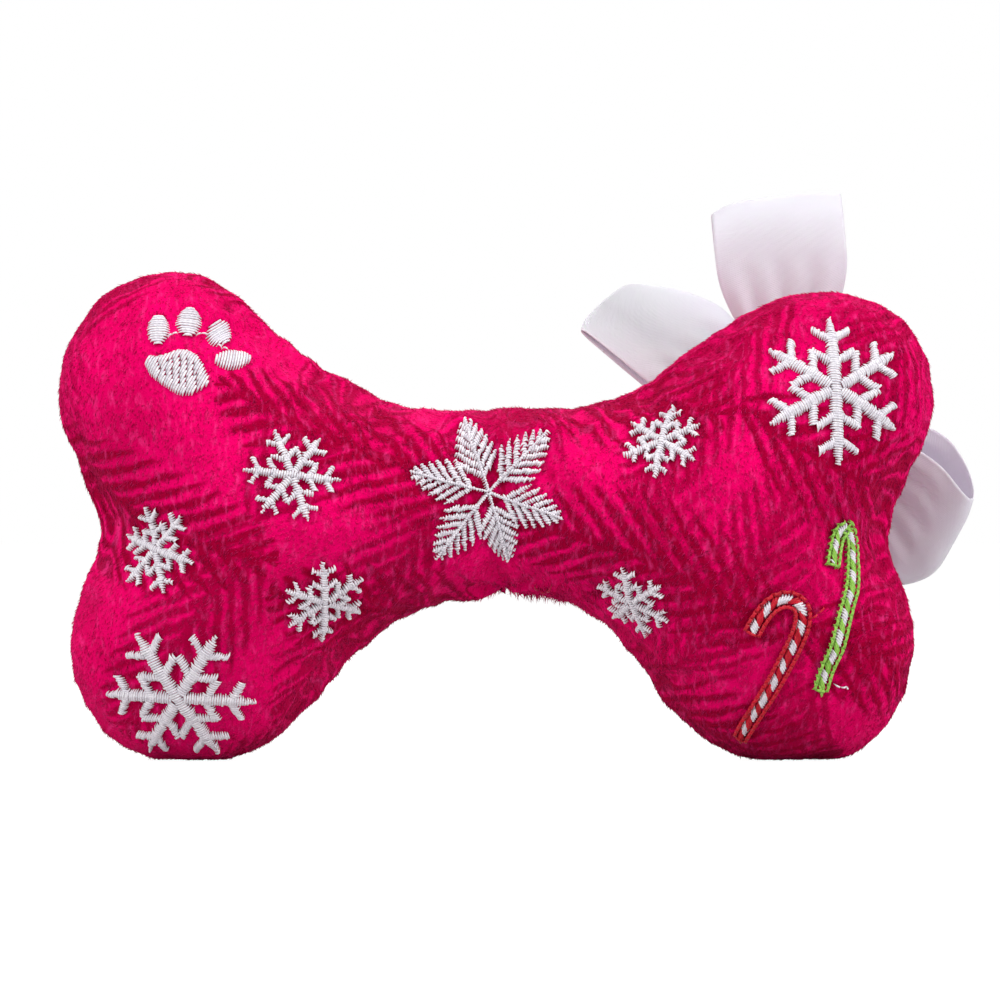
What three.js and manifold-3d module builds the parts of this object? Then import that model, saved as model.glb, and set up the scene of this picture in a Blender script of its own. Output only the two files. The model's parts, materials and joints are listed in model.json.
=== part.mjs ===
// A plush bone dog toy: two sewn plush panels round stuffing and a squeaker, raised embroidery on the
// front panel, and a ribbon bow of four loops tacked behind the upper right lobe.
// Millimetres. X runs along the bone, Y from front to back and Z up. The toy stands on its lower lobes.

import * as THREE from "three";
import { mergeVertices } from "three/addons/utils/BufferGeometryUtils.js";
import Module from "manifold-3d";

const wasm = await Module();
wasm.setup();

// Bone
const BONE_LENGTH = 165;
const BONE_HEIGHT = 93;
const BONE_DEPTH = 43;
const PLUSH_THICKNESS = 2;
const SEAM_ALLOWANCE = 4;
const ALLOWANCE_THICKNESS = 1.2;
const STANDING_FLAT_DEPTH = 0.5;

// Clearances
const SEAT_GAP = 0.3;
const FILL_GAP = 0.8;
const WAD_GAP = 0.35;

// Stuffing and squeaker
const MIDDLE_WAD_LENGTH = 64;
const SQUEAKER_DIAMETER = 21;
const SQUEAKER_THICKNESS = 14;
const SQUEAKER_WALL = 1.2;
const SQUEAKER_CORNER = 3;
const NECK_DIAMETER = 9;
const NECK_HEIGHT = 5;
const HOLDER_FLANGE_THICKNESS = 1.4;
const HOLDER_BORE = 3;
const HOLDER_LENGTH = 5.5;
const REED_LENGTH = 5;
const REED_WIDTH = 2;
const REED_THICKNESS = 0.4;

// Embroidery
const STITCH_HEIGHT = 0.6;
const STITCH_LAYER_STEP = 0.07;
const LARGE_FLAKE_RADIUS = 14.6;
const MEDIUM_FLAKE_RADIUS = 9.2;
const SMALL_FLAKE_RADIUS = 7.9;
const LARGE_BAR_WIDTH = 2.1;
const SMALL_BAR_WIDTH = 1.3;
const STAR_RADIUS = 14.4;
const STAR_BAR_WIDTH = 1.5;
const RED_CANE_WIDTH = 2.8;
const GREEN_CANE_WIDTH = 2.4;
const PAD_HEIGHT = 0.9;
const PAW_PAD_WIDTH = 11.4;
const PAW_PAD_LENGTH = 9.6;
const TOE_WIDTH = 4.2;
const TOE_LENGTH = 6.2;

// Bow
const RIBBON_WIDTH = 25;
const RIBBON_THICKNESS = 0.6;
const LOOP_LENGTH = 40;
const LOOP_PUFF = 10;
const GATHERED_WIDTH = 8.5;
const ROOT_SPACING = 2;
const PLEAT_DEPTH = 0.3;
const BAND_RADIUS = 4.4;
const BAND_WAIST = 0.3;
const LAYER_SPACING = 5.6;
const ROOT_CLEARANCE = 0.75;

// Pixels of the photograph that the outline, the embroidery and the bow are placed by
const PHOTO_LEFT = 57;
const PHOTO_RIGHT = 934;
const PHOTO_TOP = 270;
const PHOTO_BOTTOM = 762;
const OUTLINE_PIXELS = [
  [190, 271], [222, 287], [262, 331], [325, 378], [390, 402], [485, 409], [585, 406], [645, 393],
  [700, 349], [755, 309], [810, 291],
  [838, 290], [868, 300], [900, 324], [925, 352], [934, 388], [928, 428], [912, 463], [887, 500],
  [873, 535], [888, 568], [908, 604], [915, 642], [907, 686], [888, 718], [864, 744], [835, 761],
  [800, 762.5], [760, 761], [720, 749], [685, 722], [651, 672], [605, 622], [560, 600], [510, 590],
  [440, 606], [385, 628], [345, 656], [305, 707], [275, 738], [232, 760],
  [190, 762.5], [152, 760], [118, 740], [92, 712], [74, 683], [69, 648], [78, 605], [100, 566],
  [117, 537], [103, 505], [78, 455], [61, 415], [58, 382], [67, 346], [86, 314], [114, 291], [152, 274],
];
const TOP_RIGHT_INDEX = 10;
const BOTTOM_RIGHT_INDEX = 27;
const BOTTOM_LEFT_INDEX = 41;
const SQUEAKER_PIXEL = [495, 500];
const BOW_KNOT_PIXEL = [800, 432];

// Mesh density
const SHAFT_STEPS = 22;
const END_STEPS = 17;
const RING_COUNT = 7;
const FILL_SHAFT_STEPS = 20;
const FILL_END_STEPS = 15;
const FILL_RING_COUNT = 4;
const RELAX_PASS_COUNT = 500;
const RELAX_BOOST_SHARE = 1.7;
const ROUND_STEPS = 24;
const LATHE_STEPS = 16;
const CORNER_STEPS = 3;
const STRIP_STEP = 4;
const WALK_STEP = 2;

// How far a cutting tool reaches past what it cuts
const OVERRUN = 5;

const toMillimetres = ([pixelX, pixelY]) => {
  const acrossShare = (pixelX - (PHOTO_LEFT + PHOTO_RIGHT) / 2) / (PHOTO_RIGHT - PHOTO_LEFT);
  const upShare = (PHOTO_BOTTOM - pixelY) / (PHOTO_BOTTOM - PHOTO_TOP);
  return new THREE.Vector3(BONE_LENGTH * acrossShare, 0, BONE_HEIGHT * upShare);
};

// Solids and meshes

function geometryFrom(positions, triangles) {
  const geometry = new THREE.BufferGeometry();
  geometry.setAttribute("position", new THREE.Float32BufferAttribute(positions, 3));
  geometry.setIndex(triangles);
  return geometry;
}

function solidOf(geometry) {
  const bare = geometry.clone();
  bare.deleteAttribute("normal");
  bare.deleteAttribute("uv");
  const merged = mergeVertices(bare);
  const solid = new wasm.Manifold(
    new wasm.Mesh({
      numProp: 3,
      vertProperties: new Float32Array(merged.attributes.position.array),
      triVerts: new Uint32Array(merged.index.array),
    }),
  );
  return solid;
}

function geometryOf(solid) {
  const { vertProperties, triVerts } = solid.getMesh();
  return geometryFrom(Array.from(vertProperties), Array.from(triVerts));
}

function signedVolume(points, triangles) {
  let sum = 0;
  for (let i = 0; i < triangles.length; i += 3) {
    const [a, b, c] = [points[triangles[i]], points[triangles[i + 1]], points[triangles[i + 2]]];
    sum += a.dot(b.clone().cross(c));
  }
  return sum / 6;
}

// A closed body from points and triangles, without the triangles that have shrunk to a line at a pole,
// and turned round if its faces pointed in.
function closedBody(points, triangles) {
  const kept = [];
  for (let t = 0; t < triangles.length; t += 3) {
    const corners = triangles.slice(t, t + 3);
    if (new Set(corners).size === 3) kept.push(...corners);
  }
  if (signedVolume(points, kept) < 0) kept.reverse();
  return geometryFrom(points.flatMap((point) => point.toArray()), kept);
}

function placedBox(width, depth, height, x, y, z) {
  const box = new THREE.BoxGeometry(width, depth, height);
  box.translate(x, y, z);
  return solidOf(box);
}

// The stuffed form: rays run from a spine along the shaft to the outline, and every point of that net
// swells from the seam plane as a sewn skin under pressure does.

function evenSamples(curve, from, to, count) {
  const fine = 12 * count;
  const points = [];
  const lengths = [0];
  for (let i = 0; i <= fine; i += 1) {
    points.push(curve.getPoint(THREE.MathUtils.lerp(from, to, i / fine) % 1));
    if (i > 0) lengths.push(lengths[i - 1] + points[i].distanceTo(points[i - 1]));
  }
  const samples = [];
  for (let i = 0, k = 0; i < count; i += 1) {
    const wanted = (lengths[fine] * i) / count;
    while (lengths[k + 1] < wanted) k += 1;
    const share = (wanted - lengths[k]) / (lengths[k + 1] - lengths[k]);
    samples.push(points[k].clone().lerp(points[k + 1], share));
  }
  return samples;
}

function outlineSamples(shaftSteps, endSteps) {
  const curve = new THREE.CatmullRomCurve3(OUTLINE_PIXELS.map(toMillimetres), true, "centripetal");
  const at = (index) => index / OUTLINE_PIXELS.length;
  return [
    ...evenSamples(curve, 0, at(TOP_RIGHT_INDEX), shaftSteps),
    ...evenSamples(curve, at(TOP_RIGHT_INDEX), at(BOTTOM_RIGHT_INDEX), endSteps),
    ...evenSamples(curve, at(BOTTOM_RIGHT_INDEX), at(BOTTOM_LEFT_INDEX), shaftSteps),
    ...evenSamples(curve, at(BOTTOM_LEFT_INDEX), 1, endSteps),
  ];
}

// The outward direction, in the seam plane, of each point of a closed outline that runs clockwise.
function outlineNormals(outline) {
  return outline.map((_, i) => {
    const before = outline[(i + outline.length - 1) % outline.length];
    const after = outline[(i + 1) % outline.length];
    const along = after.clone().sub(before).normalize();
    return new THREE.Vector3(-along.z, 0, along.x);
  });
}

// Which spine point each ray ends at: the two long sides share the spine, and the ends fan out from it.
function spineIndex(ray, shaftSteps, endSteps) {
  if (ray <= shaftSteps) return ray;
  if (ray <= shaftSteps + endSteps) return shaftSteps;
  if (ray <= 2 * shaftSteps + endSteps) return 2 * shaftSteps + endSteps - ray;
  return 0;
}

function netOf(shaftSteps, endSteps, rings) {
  const outline = outlineSamples(shaftSteps, endSteps);
  const rays = outline.length;
  const spineStart = rays * rings;
  const points = [];
  const lowerRay = (k) => (2 * shaftSteps + endSteps - k) % rays;
  const spine = [];
  for (let k = 0; k <= shaftSteps; k += 1) {
    spine.push(outline[k].clone().lerp(outline[lowerRay(k)], 1 / 2));
  }
  for (let ring = 0; ring < rings; ring += 1) {
    const reachShare = Math.cos((Math.PI / 2) * (ring / rings));
    outline.forEach((rim, ray) => {
      points.push(spine[spineIndex(ray, shaftSteps, endSteps)].clone().lerp(rim, reachShare));
    });
  }
  points.push(...spine);
  const at = (ring, ray) => {
    const wrapped = ray % rays;
    return ring < rings ? ring * rays + wrapped : spineStart + spineIndex(wrapped, shaftSteps, endSteps);
  };
  const triangles = [];
  for (let ring = 0; ring < rings; ring += 1) {
    for (let ray = 0; ray < rays; ray += 1) {
      const [a, b] = [at(ring, ray), at(ring, ray + 1)];
      const [c, d] = [at(ring + 1, ray + 1), at(ring + 1, ray)];
      triangles.push(a, b, c);
      if (c !== d) triangles.push(a, c, d);
    }
  }
  return { outline, rays, points, triangles };
}

// Solves the sag of a membrane over the net: its square root is the swell of a stuffed skin.
function membrane({ points, triangles, rays }) {
  const links = points.map(() => new Map());
  const areas = points.map(() => 0);
  const addLink = (i, j, weight) => {
    links[i].set(j, (links[i].get(j) ?? 0) + weight);
    links[j].set(i, (links[j].get(i) ?? 0) + weight);
  };
  for (let t = 0; t < triangles.length; t += 3) {
    const corner = [triangles[t], triangles[t + 1], triangles[t + 2]];
    for (let k = 0; k < 3; k += 1) {
      const [i, j, o] = [corner[k], corner[(k + 1) % 3], corner[(k + 2) % 3]];
      const [p, q] = [points[i].clone().sub(points[o]), points[j].clone().sub(points[o])];
      const doubleArea = p.clone().cross(q).length();
      addLink(i, j, p.dot(q) / doubleArea / 2);
      areas[o] += doubleArea / 6;
    }
  }
  const sag = points.map(() => 0);
  for (let pass = 0; pass < RELAX_PASS_COUNT; pass += 1) {
    for (let i = rays; i < points.length; i += 1) {
      let [pull, weights] = [areas[i], 0];
      links[i].forEach((weight, j) => {
        pull += weight * sag[j];
        weights += weight;
      });
      sag[i] += RELAX_BOOST_SHARE * (pull / weights - sag[i]);
    }
  }
  return sag;
}

// A stuffed skin: its net swollen to the front, with the outward direction at every point.
function stuffedSkin(shaftSteps, endSteps, rings) {
  const net = netOf(shaftSteps, endSteps, rings);
  const sag = membrane(net);
  const deepest = Math.max(...sag);
  const skin = net.points.map((point, i) => {
    const swell = (BONE_DEPTH / 2 - SEAT_GAP / 2) * Math.sqrt(Math.max(sag[i], 0) / deepest);
    return new THREE.Vector3(point.x, -(swell + SEAT_GAP / 2), point.z);
  });
  const normals = skin.map(() => new THREE.Vector3());
  for (let t = 0; t < net.triangles.length; t += 3) {
    const [a, b, c] = net.triangles.slice(t, t + 3);
    const face = skin[b].clone().sub(skin[a]).cross(skin[c].clone().sub(skin[a]));
    if (face.y > 0) face.negate();
    [a, b, c].forEach((i) => normals[i].add(face));
  }
  normals.forEach((normal) => normal.normalize());
  outlineNormals(net.outline).forEach((normal, i) => normals[i].copy(normal));
  return { ...net, skin, normals };
}

const MIRROR_DEPTH = new THREE.Vector3(1, -1, 1);

// One of the two plush panels: skin, turned-in seam allowance and lining, closed into one body.
function plushPanel(form, mirrored) {
  const { skin, normals, triangles, rays, outline } = form;
  const outward = outlineNormals(outline);
  const loop = (inset, depth) =>
    outline.map((rim, i) => {
      const point = rim.clone().addScaledVector(outward[i], -inset);
      return point.setY(-depth);
    });
  const insideDepth = SEAT_GAP / 2 + ALLOWANCE_THICKNESS;
  const lining = skin.map((point, i) => point.clone().addScaledVector(normals[i], -PLUSH_THICKNESS));
  loop(PLUSH_THICKNESS, insideDepth).forEach((point, i) => lining[i].copy(point));
  const points = [
    ...skin,
    ...lining,
    ...loop(PLUSH_THICKNESS + SEAM_ALLOWANCE, SEAT_GAP / 2),
    ...loop(PLUSH_THICKNESS + SEAM_ALLOWANCE, insideDepth),
  ];
  const liningStart = skin.length;
  const foldStart = 2 * skin.length;
  const faces = [...triangles];
  for (let t = 0; t < triangles.length; t += 3) {
    faces.push(...[triangles[t], triangles[t + 2], triangles[t + 1]].map((i) => i + liningStart));
  }
  const strip = (first, second) => {
    for (let i = 0; i < rays; i += 1) {
      const next = (i + 1) % rays;
      faces.push(first + i, second + i, second + next, first + i, second + next, first + next);
    }
  };
  strip(0, foldStart);
  strip(foldStart, foldStart + rays);
  strip(foldStart + rays, liningStart);
  const placed = mirrored ? points.map((point) => point.clone().multiply(MIRROR_DEPTH)) : points;
  const panel = solidOf(closedBody(placed, faces));
  const ground = placedBox(
    BONE_LENGTH + OVERRUN, BONE_DEPTH + OVERRUN, OVERRUN, 0, 0, STANDING_FLAT_DEPTH - OVERRUN / 2,
  );
  return geometryOf(panel.subtract(ground));
}

// All the stuffing as one body, grooved where the seam allowances reach in.
function stuffingBody() {
  const { skin, normals, triangles, rays, outline } = stuffedSkin(
    FILL_SHAFT_STEPS, FILL_END_STEPS, FILL_RING_COUNT,
  );
  const outward = outlineNormals(outline);
  const inset = PLUSH_THICKNESS + FILL_GAP;
  const front = skin.map((point, i) => point.clone().addScaledVector(normals[i], -inset));
  const grooveDepth = SEAT_GAP / 2 + ALLOWANCE_THICKNESS + FILL_GAP;
  outline.forEach((rim, i) => {
    front[i].copy(rim).addScaledVector(outward[i], -inset).setY(-grooveDepth);
  });
  const groove = outline.map((rim, i) =>
    rim.clone().addScaledVector(outward[i], -(inset + SEAM_ALLOWANCE)).setY(-grooveDepth),
  );
  const half = [...front, ...groove];
  const points = [...half, ...half.map((point) => point.clone().multiply(MIRROR_DEPTH))];
  const faces = [...triangles];
  for (let t = 0; t < triangles.length; t += 3) {
    faces.push(...[triangles[t], triangles[t + 2], triangles[t + 1]].map((i) => i + half.length));
  }
  const strip = (first, second) => {
    for (let i = 0; i < rays; i += 1) {
      const next = (i + 1) % rays;
      faces.push(first + i, second + i, second + next, first + i, second + next, first + next);
    }
  };
  const grooveStart = front.length;
  strip(0, grooveStart);
  strip(grooveStart, grooveStart + half.length);
  strip(grooveStart + half.length, half.length);
  return solidOf(closedBody(points, faces));
}

const boneForm = stuffedSkin(SHAFT_STEPS, END_STEPS, RING_COUNT);

// The point of the front skin over a place in the seam plane, with the outward direction there. A place
// past the rim is held to the nearest triangle of the skin.
function skinAt(x, z) {
  const { skin, normals, triangles } = boneForm;
  let best = { least: -Infinity };
  for (let t = 0; t < triangles.length && best.least < 0; t += 3) {
    const [a, b, c] = [skin[triangles[t]], skin[triangles[t + 1]], skin[triangles[t + 2]]];
    const area = (b.x - a.x) * (c.z - a.z) - (b.z - a.z) * (c.x - a.x);
    const shareB = ((x - a.x) * (c.z - a.z) - (z - a.z) * (c.x - a.x)) / area;
    const shareC = ((b.x - a.x) * (z - a.z) - (b.z - a.z) * (x - a.x)) / area;
    const shares = [1 - shareB - shareC, shareB, shareC];
    const least = Math.min(...shares);
    if (least > best.least) best = { least, shares, first: t };
  }
  const held = best.shares.map((share) => Math.max(share, 0));
  const whole = held.reduce((sum, share) => sum + share);
  const point = new THREE.Vector3();
  const normal = new THREE.Vector3();
  held.forEach((share, k) => {
    point.addScaledVector(skin[triangles[best.first + k]], share / whole);
    normal.addScaledVector(normals[triangles[best.first + k]], share / whole);
  });
  return { point, normal: normal.normalize() };
}

function liftedFromSkin(place, lift) {
  const { point, normal } = skinAt(place.x, place.z);
  return point.addScaledVector(normal, SEAT_GAP + lift);
}

// The place that lies across and up from a centre when both are measured along the curved skin.
function walkedPlace(centre, across, up) {
  const steps = Math.max(1, Math.ceil(Math.hypot(across, up) / WALK_STEP));
  const place = centre.clone();
  for (let i = 0; i < steps; i += 1) {
    const { normal } = skinAt(place.x, place.z);
    const level = new THREE.Vector3(-normal.y, normal.x, 0).normalize();
    const rising = normal.cross(level);
    place.addScaledVector(level, across / steps).addScaledVector(rising, up / steps);
  }
  return place;
}

// Embroidery: satin stitch worked in strips that follow the skin, each strip a layer over the last.

const STRIP_CROWN_SHARE = 0.55;

function satinStrip({ curve, width, layer, centre }) {
  const steps = Math.max(1, Math.round(curve.getLength() / STRIP_STEP));
  const strip = new THREE.BoxGeometry(1, 1, 1, steps, 1, 1);
  const places = strip.attributes.position;
  for (let i = 0; i < places.count; i += 1) {
    const share = places.getX(i) + 1 / 2;
    const top = places.getZ(i) > 0;
    const middle = curve.getPoint(share);
    const along = curve.getTangent(share);
    const side = places.getY(i) * width * (top ? STRIP_CROWN_SHARE : 1);
    const lift = layer * STITCH_LAYER_STEP + (top ? STITCH_HEIGHT : 0);
    const [across, up] = [middle.x - along.z * side, middle.z + along.x * side];
    const lifted = liftedFromSkin(walkedPlace(centre, across, up), lift);
    places.setXYZ(i, lifted.x, lifted.y, lifted.z);
  }
  return solidOf(outwardFacing(strip));
}

function outwardFacing(geometry) {
  const bare = geometry.clone();
  bare.deleteAttribute("normal");
  bare.deleteAttribute("uv");
  const merged = mergeVertices(bare);
  const places = merged.attributes.position;
  const points = [];
  for (let i = 0; i < places.count; i += 1) points.push(new THREE.Vector3().fromBufferAttribute(places, i));
  return closedBody(points, Array.from(merged.index.array));
}

const polar = (centre, radius, angle) =>
  new THREE.Vector3(
    centre.x + radius * Math.cos(THREE.MathUtils.degToRad(angle)),
    0,
    centre.z + radius * Math.sin(THREE.MathUtils.degToRad(angle)),
  );

// Solids joined into one, with any pocket that they close in between them filled.
function joined(solids) {
  const whole = wasm.Manifold.union(solids);
  const filled = whole.decompose().filter((shell) => shell.volume() > 0);
  return geometryOf(wasm.Manifold.union(filled));
}

// A flake: bars through the centre, and pairs of side branches that leave each half of a bar.
function snowflake({ centre, radius, barWidth, angles, branches, branchWidthShare, branchAngle }) {
  const middle = toMillimetres(centre);
  const strip = (from, to, width, layer) =>
    satinStrip({ curve: new THREE.LineCurve3(from, to), width, layer, centre: middle });
  const origin = new THREE.Vector3();
  const strips = [];
  angles.forEach((angle, i) => {
    strips.push(strip(polar(origin, -radius, angle), polar(origin, radius, angle), barWidth, i));
    branches.forEach(({ atShare, lengthShare }) => {
      [1, -1].forEach((half) => {
        const fork = polar(origin, half * radius * atShare, angle);
        [-branchAngle, branchAngle].forEach((turn) => {
          const from = polar(fork, half * barWidth * BRANCH_ROOT_SHARE, angle + turn);
          const to = polar(fork, half * radius * lengthShare, angle + turn);
          strips.push(strip(from, to, barWidth * branchWidthShare, BRANCH_LAYER));
        });
      });
    });
  });
  return joined(strips);
}

const BRANCH_LAYER = 3;
const BRANCH_ROOT_SHARE = 0.4;
const evenAngles = (first) => [first, first + 60, first + 120];

const LARGE_BRANCH_SHARES = [
  { atShare: 0.42, lengthShare: 0.3 },
  { atShare: 0.72, lengthShare: 0.24 },
];
const SMALL_BRANCH_SHARES = [{ atShare: 0.52, lengthShare: 0.36 }];
const FROND_BRANCH_SHARES = [
  { atShare: 0.3, lengthShare: 0.2 },
  { atShare: 0.52, lengthShare: 0.25 },
  { atShare: 0.74, lengthShare: 0.2 },
];

const FLAKE_STYLES = {
  large: {
    radius: LARGE_FLAKE_RADIUS, barWidth: LARGE_BAR_WIDTH, branches: LARGE_BRANCH_SHARES,
    branchWidthShare: 0.75, branchAngle: 55,
  },
  medium: {
    radius: MEDIUM_FLAKE_RADIUS, barWidth: SMALL_BAR_WIDTH, branches: SMALL_BRANCH_SHARES,
    branchWidthShare: 0.9, branchAngle: 52,
  },
  small: {
    radius: SMALL_FLAKE_RADIUS, barWidth: SMALL_BAR_WIDTH, branches: SMALL_BRANCH_SHARES,
    branchWidthShare: 0.9, branchAngle: 52,
  },
  star: {
    radius: STAR_RADIUS, barWidth: STAR_BAR_WIDTH, branches: FROND_BRANCH_SHARES,
    branchWidthShare: 0.8, branchAngle: 42,
  },
};

const FLAKES = [
  { name: "snowflake_right_lobe", style: "large", centre: [836, 387], angles: [90, 28, 147] },
  { name: "snowflake_left_lobe", style: "large", centre: [178, 698], angles: evenAngles(-1) },
  { name: "snowflake_shaft_left", style: "medium", centre: [292, 475], angles: evenAngles(-9) },
  { name: "snowflake_notch_left", style: "small", centre: [157, 549], angles: evenAngles(46) },
  { name: "snowflake_lower_left", style: "small", centre: [325, 602], angles: evenAngles(39) },
  { name: "snowflake_shaft_right", style: "small", centre: [662, 442], angles: evenAngles(25) },
  { name: "snowflake_lower_right", style: "small", centre: [632, 603], angles: evenAngles(28) },
  { name: "frond_star", style: "star", centre: [488, 493], angles: [107.5, 48, -15.5] },
];

// A padded patch such as a toe: a low dome over an outline given by its reach in eight directions.
function domedPatch({ centre, width, height, tilt, reachShares }) {
  const middle = toMillimetres(centre);
  const dome = new THREE.SphereGeometry(1, 12, 4);
  dome.rotateX(Math.PI / 2);
  const places = dome.attributes.position;
  const turn = THREE.MathUtils.degToRad(tilt);
  const reachAt = (angle) => {
    const place = (THREE.MathUtils.euclideanModulo(angle, 2 * Math.PI) / (2 * Math.PI)) * reachShares.length;
    const [low, high] = [Math.floor(place), Math.ceil(place)];
    return THREE.MathUtils.lerp(
      reachShares[low % reachShares.length], reachShares[high % reachShares.length], place - low,
    );
  };
  for (let i = 0; i < places.count; i += 1) {
    const [x, y, z] = [places.getX(i), places.getY(i), places.getZ(i)];
    const reachShare = reachAt(Math.atan2(y, x));
    const [u, v] = [(x * reachShare * width) / 2, (y * reachShare * height) / 2];
    const place = walkedPlace(
      middle,
      u * Math.cos(turn) - v * Math.sin(turn),
      u * Math.sin(turn) + v * Math.cos(turn),
    );
    const lifted = liftedFromSkin(place, PAD_HEIGHT * Math.max(z, 0));
    places.setXYZ(i, lifted.x, lifted.y, lifted.z);
  }
  return outwardFacing(dome);
}

const PAD_SHARES = [0.98, 0.86, 0.98, 1.14, 1.06, 0.82, 0.86, 0.98];
const ROUND_SHARES = [1, 1, 1, 1, 1, 1, 1, 1];
const toe = (number, centre, tilt, widthShare, lengthShare) => ({
  name: `paw_toe_${number}`,
  centre,
  tilt,
  width: TOE_WIDTH * widthShare,
  height: TOE_LENGTH * lengthShare,
  reachShares: ROUND_SHARES,
});
const PAW_PATCHES = [
  {
    name: "paw_pad", centre: [180, 373], tilt: 0, width: PAW_PAD_WIDTH, height: PAW_PAD_LENGTH,
    reachShares: PAD_SHARES,
  },
  toe(1, [157, 329], 0, 1, 1),
  toe(2, [189, 322], -8, 1.14, 0.94),
  toe(3, [219, 333], -48, 1, 0.97),
  toe(4, [234, 358], -78, 0.93, 1.06),
];

const RED_CANE_PIXELS = [
  [743, 738], [760, 708], [772, 685], [783, 664], [795, 641], [802, 622], [800, 606], [787, 599],
  [773, 603], [761, 616], [751, 634],
];
const GREEN_CANE_PIXELS = [
  [823, 689], [831, 667], [839, 648], [844, 625], [850, 606], [852, 587], [854, 564], [857, 541],
  [851, 526], [841, 532], [833, 546], [827, 564],
];

function candyCane(pixels, width) {
  const centre = toMillimetres(pixels[Math.floor(pixels.length / 2)]);
  const route = pixels.map((pixel) => toMillimetres(pixel).sub(centre));
  return geometryOf(satinStrip({ curve: new THREE.CatmullRomCurve3(route), width, layer: 0, centre }));
}

// Squeaker: a hollow bladder with a reed holder in its neck, lying flat in the middle of the stuffing.

function revolved(profile) {
  const outline = profile.map(([radius, along]) => new THREE.Vector2(radius, along));
  return outwardFacing(new THREE.LatheGeometry(outline, LATHE_STEPS));
}

const HOLDER_STEM_DIAMETER = NECK_DIAMETER - 2 * SQUEAKER_WALL - 2 * SEAT_GAP;

function bladderProfile() {
  const [outer, half] = [SQUEAKER_DIAMETER / 2, SQUEAKER_THICKNESS / 2];
  const corner = (radius, height, size, up) => {
    const arc = [];
    for (let step = 0; step <= CORNER_STEPS; step += 1) {
      const turned = step / CORNER_STEPS;
      const angle = (Math.PI / 2) * (up ? turned : 1 - turned);
      const lift = (up ? 1 : -1) * (height - size + size * Math.sin(angle));
      arc.push([radius - size + size * Math.cos(angle), lift]);
    }
    return arc;
  };
  const inner = SQUEAKER_CORNER - SQUEAKER_WALL;
  const neck = NECK_DIAMETER / 2;
  return [
    [0, -half],
    ...corner(outer, half, SQUEAKER_CORNER, false),
    ...corner(outer, half, SQUEAKER_CORNER, true),
    [neck, half],
    [neck, half - NECK_HEIGHT + SQUEAKER_WALL],
    [neck - SQUEAKER_WALL, half - NECK_HEIGHT + SQUEAKER_WALL],
    [neck - SQUEAKER_WALL, half - NECK_HEIGHT],
    [neck + SQUEAKER_WALL, half - NECK_HEIGHT],
    [neck + SQUEAKER_WALL, half - SQUEAKER_WALL],
    ...corner(outer - SQUEAKER_WALL, half - SQUEAKER_WALL, inner, true).reverse(),
    ...corner(outer - SQUEAKER_WALL, half - SQUEAKER_WALL, inner, false).reverse(),
    [0, -half + SQUEAKER_WALL],
  ];
}

// The level at which the holder's flange stands off the step in the neck.
const holderSeat = () => SQUEAKER_THICKNESS / 2 - NECK_HEIGHT + SQUEAKER_WALL + SEAT_GAP;

function holderProfile() {
  const seat = holderSeat();
  const [flange, stem, bore] = [NECK_DIAMETER / 2 - SEAT_GAP, HOLDER_STEM_DIAMETER / 2, HOLDER_BORE / 2];
  return [
    [bore, seat - HOLDER_LENGTH + HOLDER_FLANGE_THICKNESS],
    [stem, seat - HOLDER_LENGTH + HOLDER_FLANGE_THICKNESS],
    [stem, seat],
    [flange, seat],
    [flange, seat + HOLDER_FLANGE_THICKNESS],
    [bore, seat + HOLDER_FLANGE_THICKNESS],
    [bore, seat - HOLDER_LENGTH + HOLDER_FLANGE_THICKNESS],
  ];
}

// The reed stands in the holder's bore, clear of its wall and level with its flange.
const reedMiddle = () => holderSeat() + HOLDER_FLANGE_THICKNESS - REED_LENGTH / 2;

// The stuffing as it is pushed in: a wad in each lobe, and one before and one behind the squeaker.
function stuffingWads(middle) {
  const whole = stuffingBody();
  const pocketRadius = SQUEAKER_DIAMETER / 2 + SEAT_GAP;
  const pocket = new THREE.CylinderGeometry(
    pocketRadius, pocketRadius, SQUEAKER_THICKNESS + 2 * SEAT_GAP, ROUND_STEPS,
  );
  pocket.translate(middle.x, middle.y, middle.z);
  const hollowed = whole.subtract(solidOf(pocket));
  const [half, far] = [MIDDLE_WAD_LENGTH / 2, BONE_LENGTH];
  const side = (sign) => sign * (half + (WAD_GAP + far) / 2);
  const rise = (sign) => middle.z + (sign * (WAD_GAP + far)) / 2;
  return [
    ["fill_upper_left", placedBox(far, far, far, side(-1), 0, rise(1))],
    ["fill_lower_left", placedBox(far, far, far, side(-1), 0, rise(-1))],
    ["fill_upper_right", placedBox(far, far, far, side(1), 0, rise(1))],
    ["fill_lower_right", placedBox(far, far, far, side(1), 0, rise(-1))],
    ["fill_middle_front", placedBox(MIDDLE_WAD_LENGTH, far, far, 0, -(WAD_GAP + far) / 2, middle.z)],
    ["fill_middle_back", placedBox(MIDDLE_WAD_LENGTH, far, far, 0, (WAD_GAP + far) / 2, middle.z)],
  ].map(([name, room]) => ({ name, geometry: geometryOf(hollowed.intersect(room)) }));
}

// Bow

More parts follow.
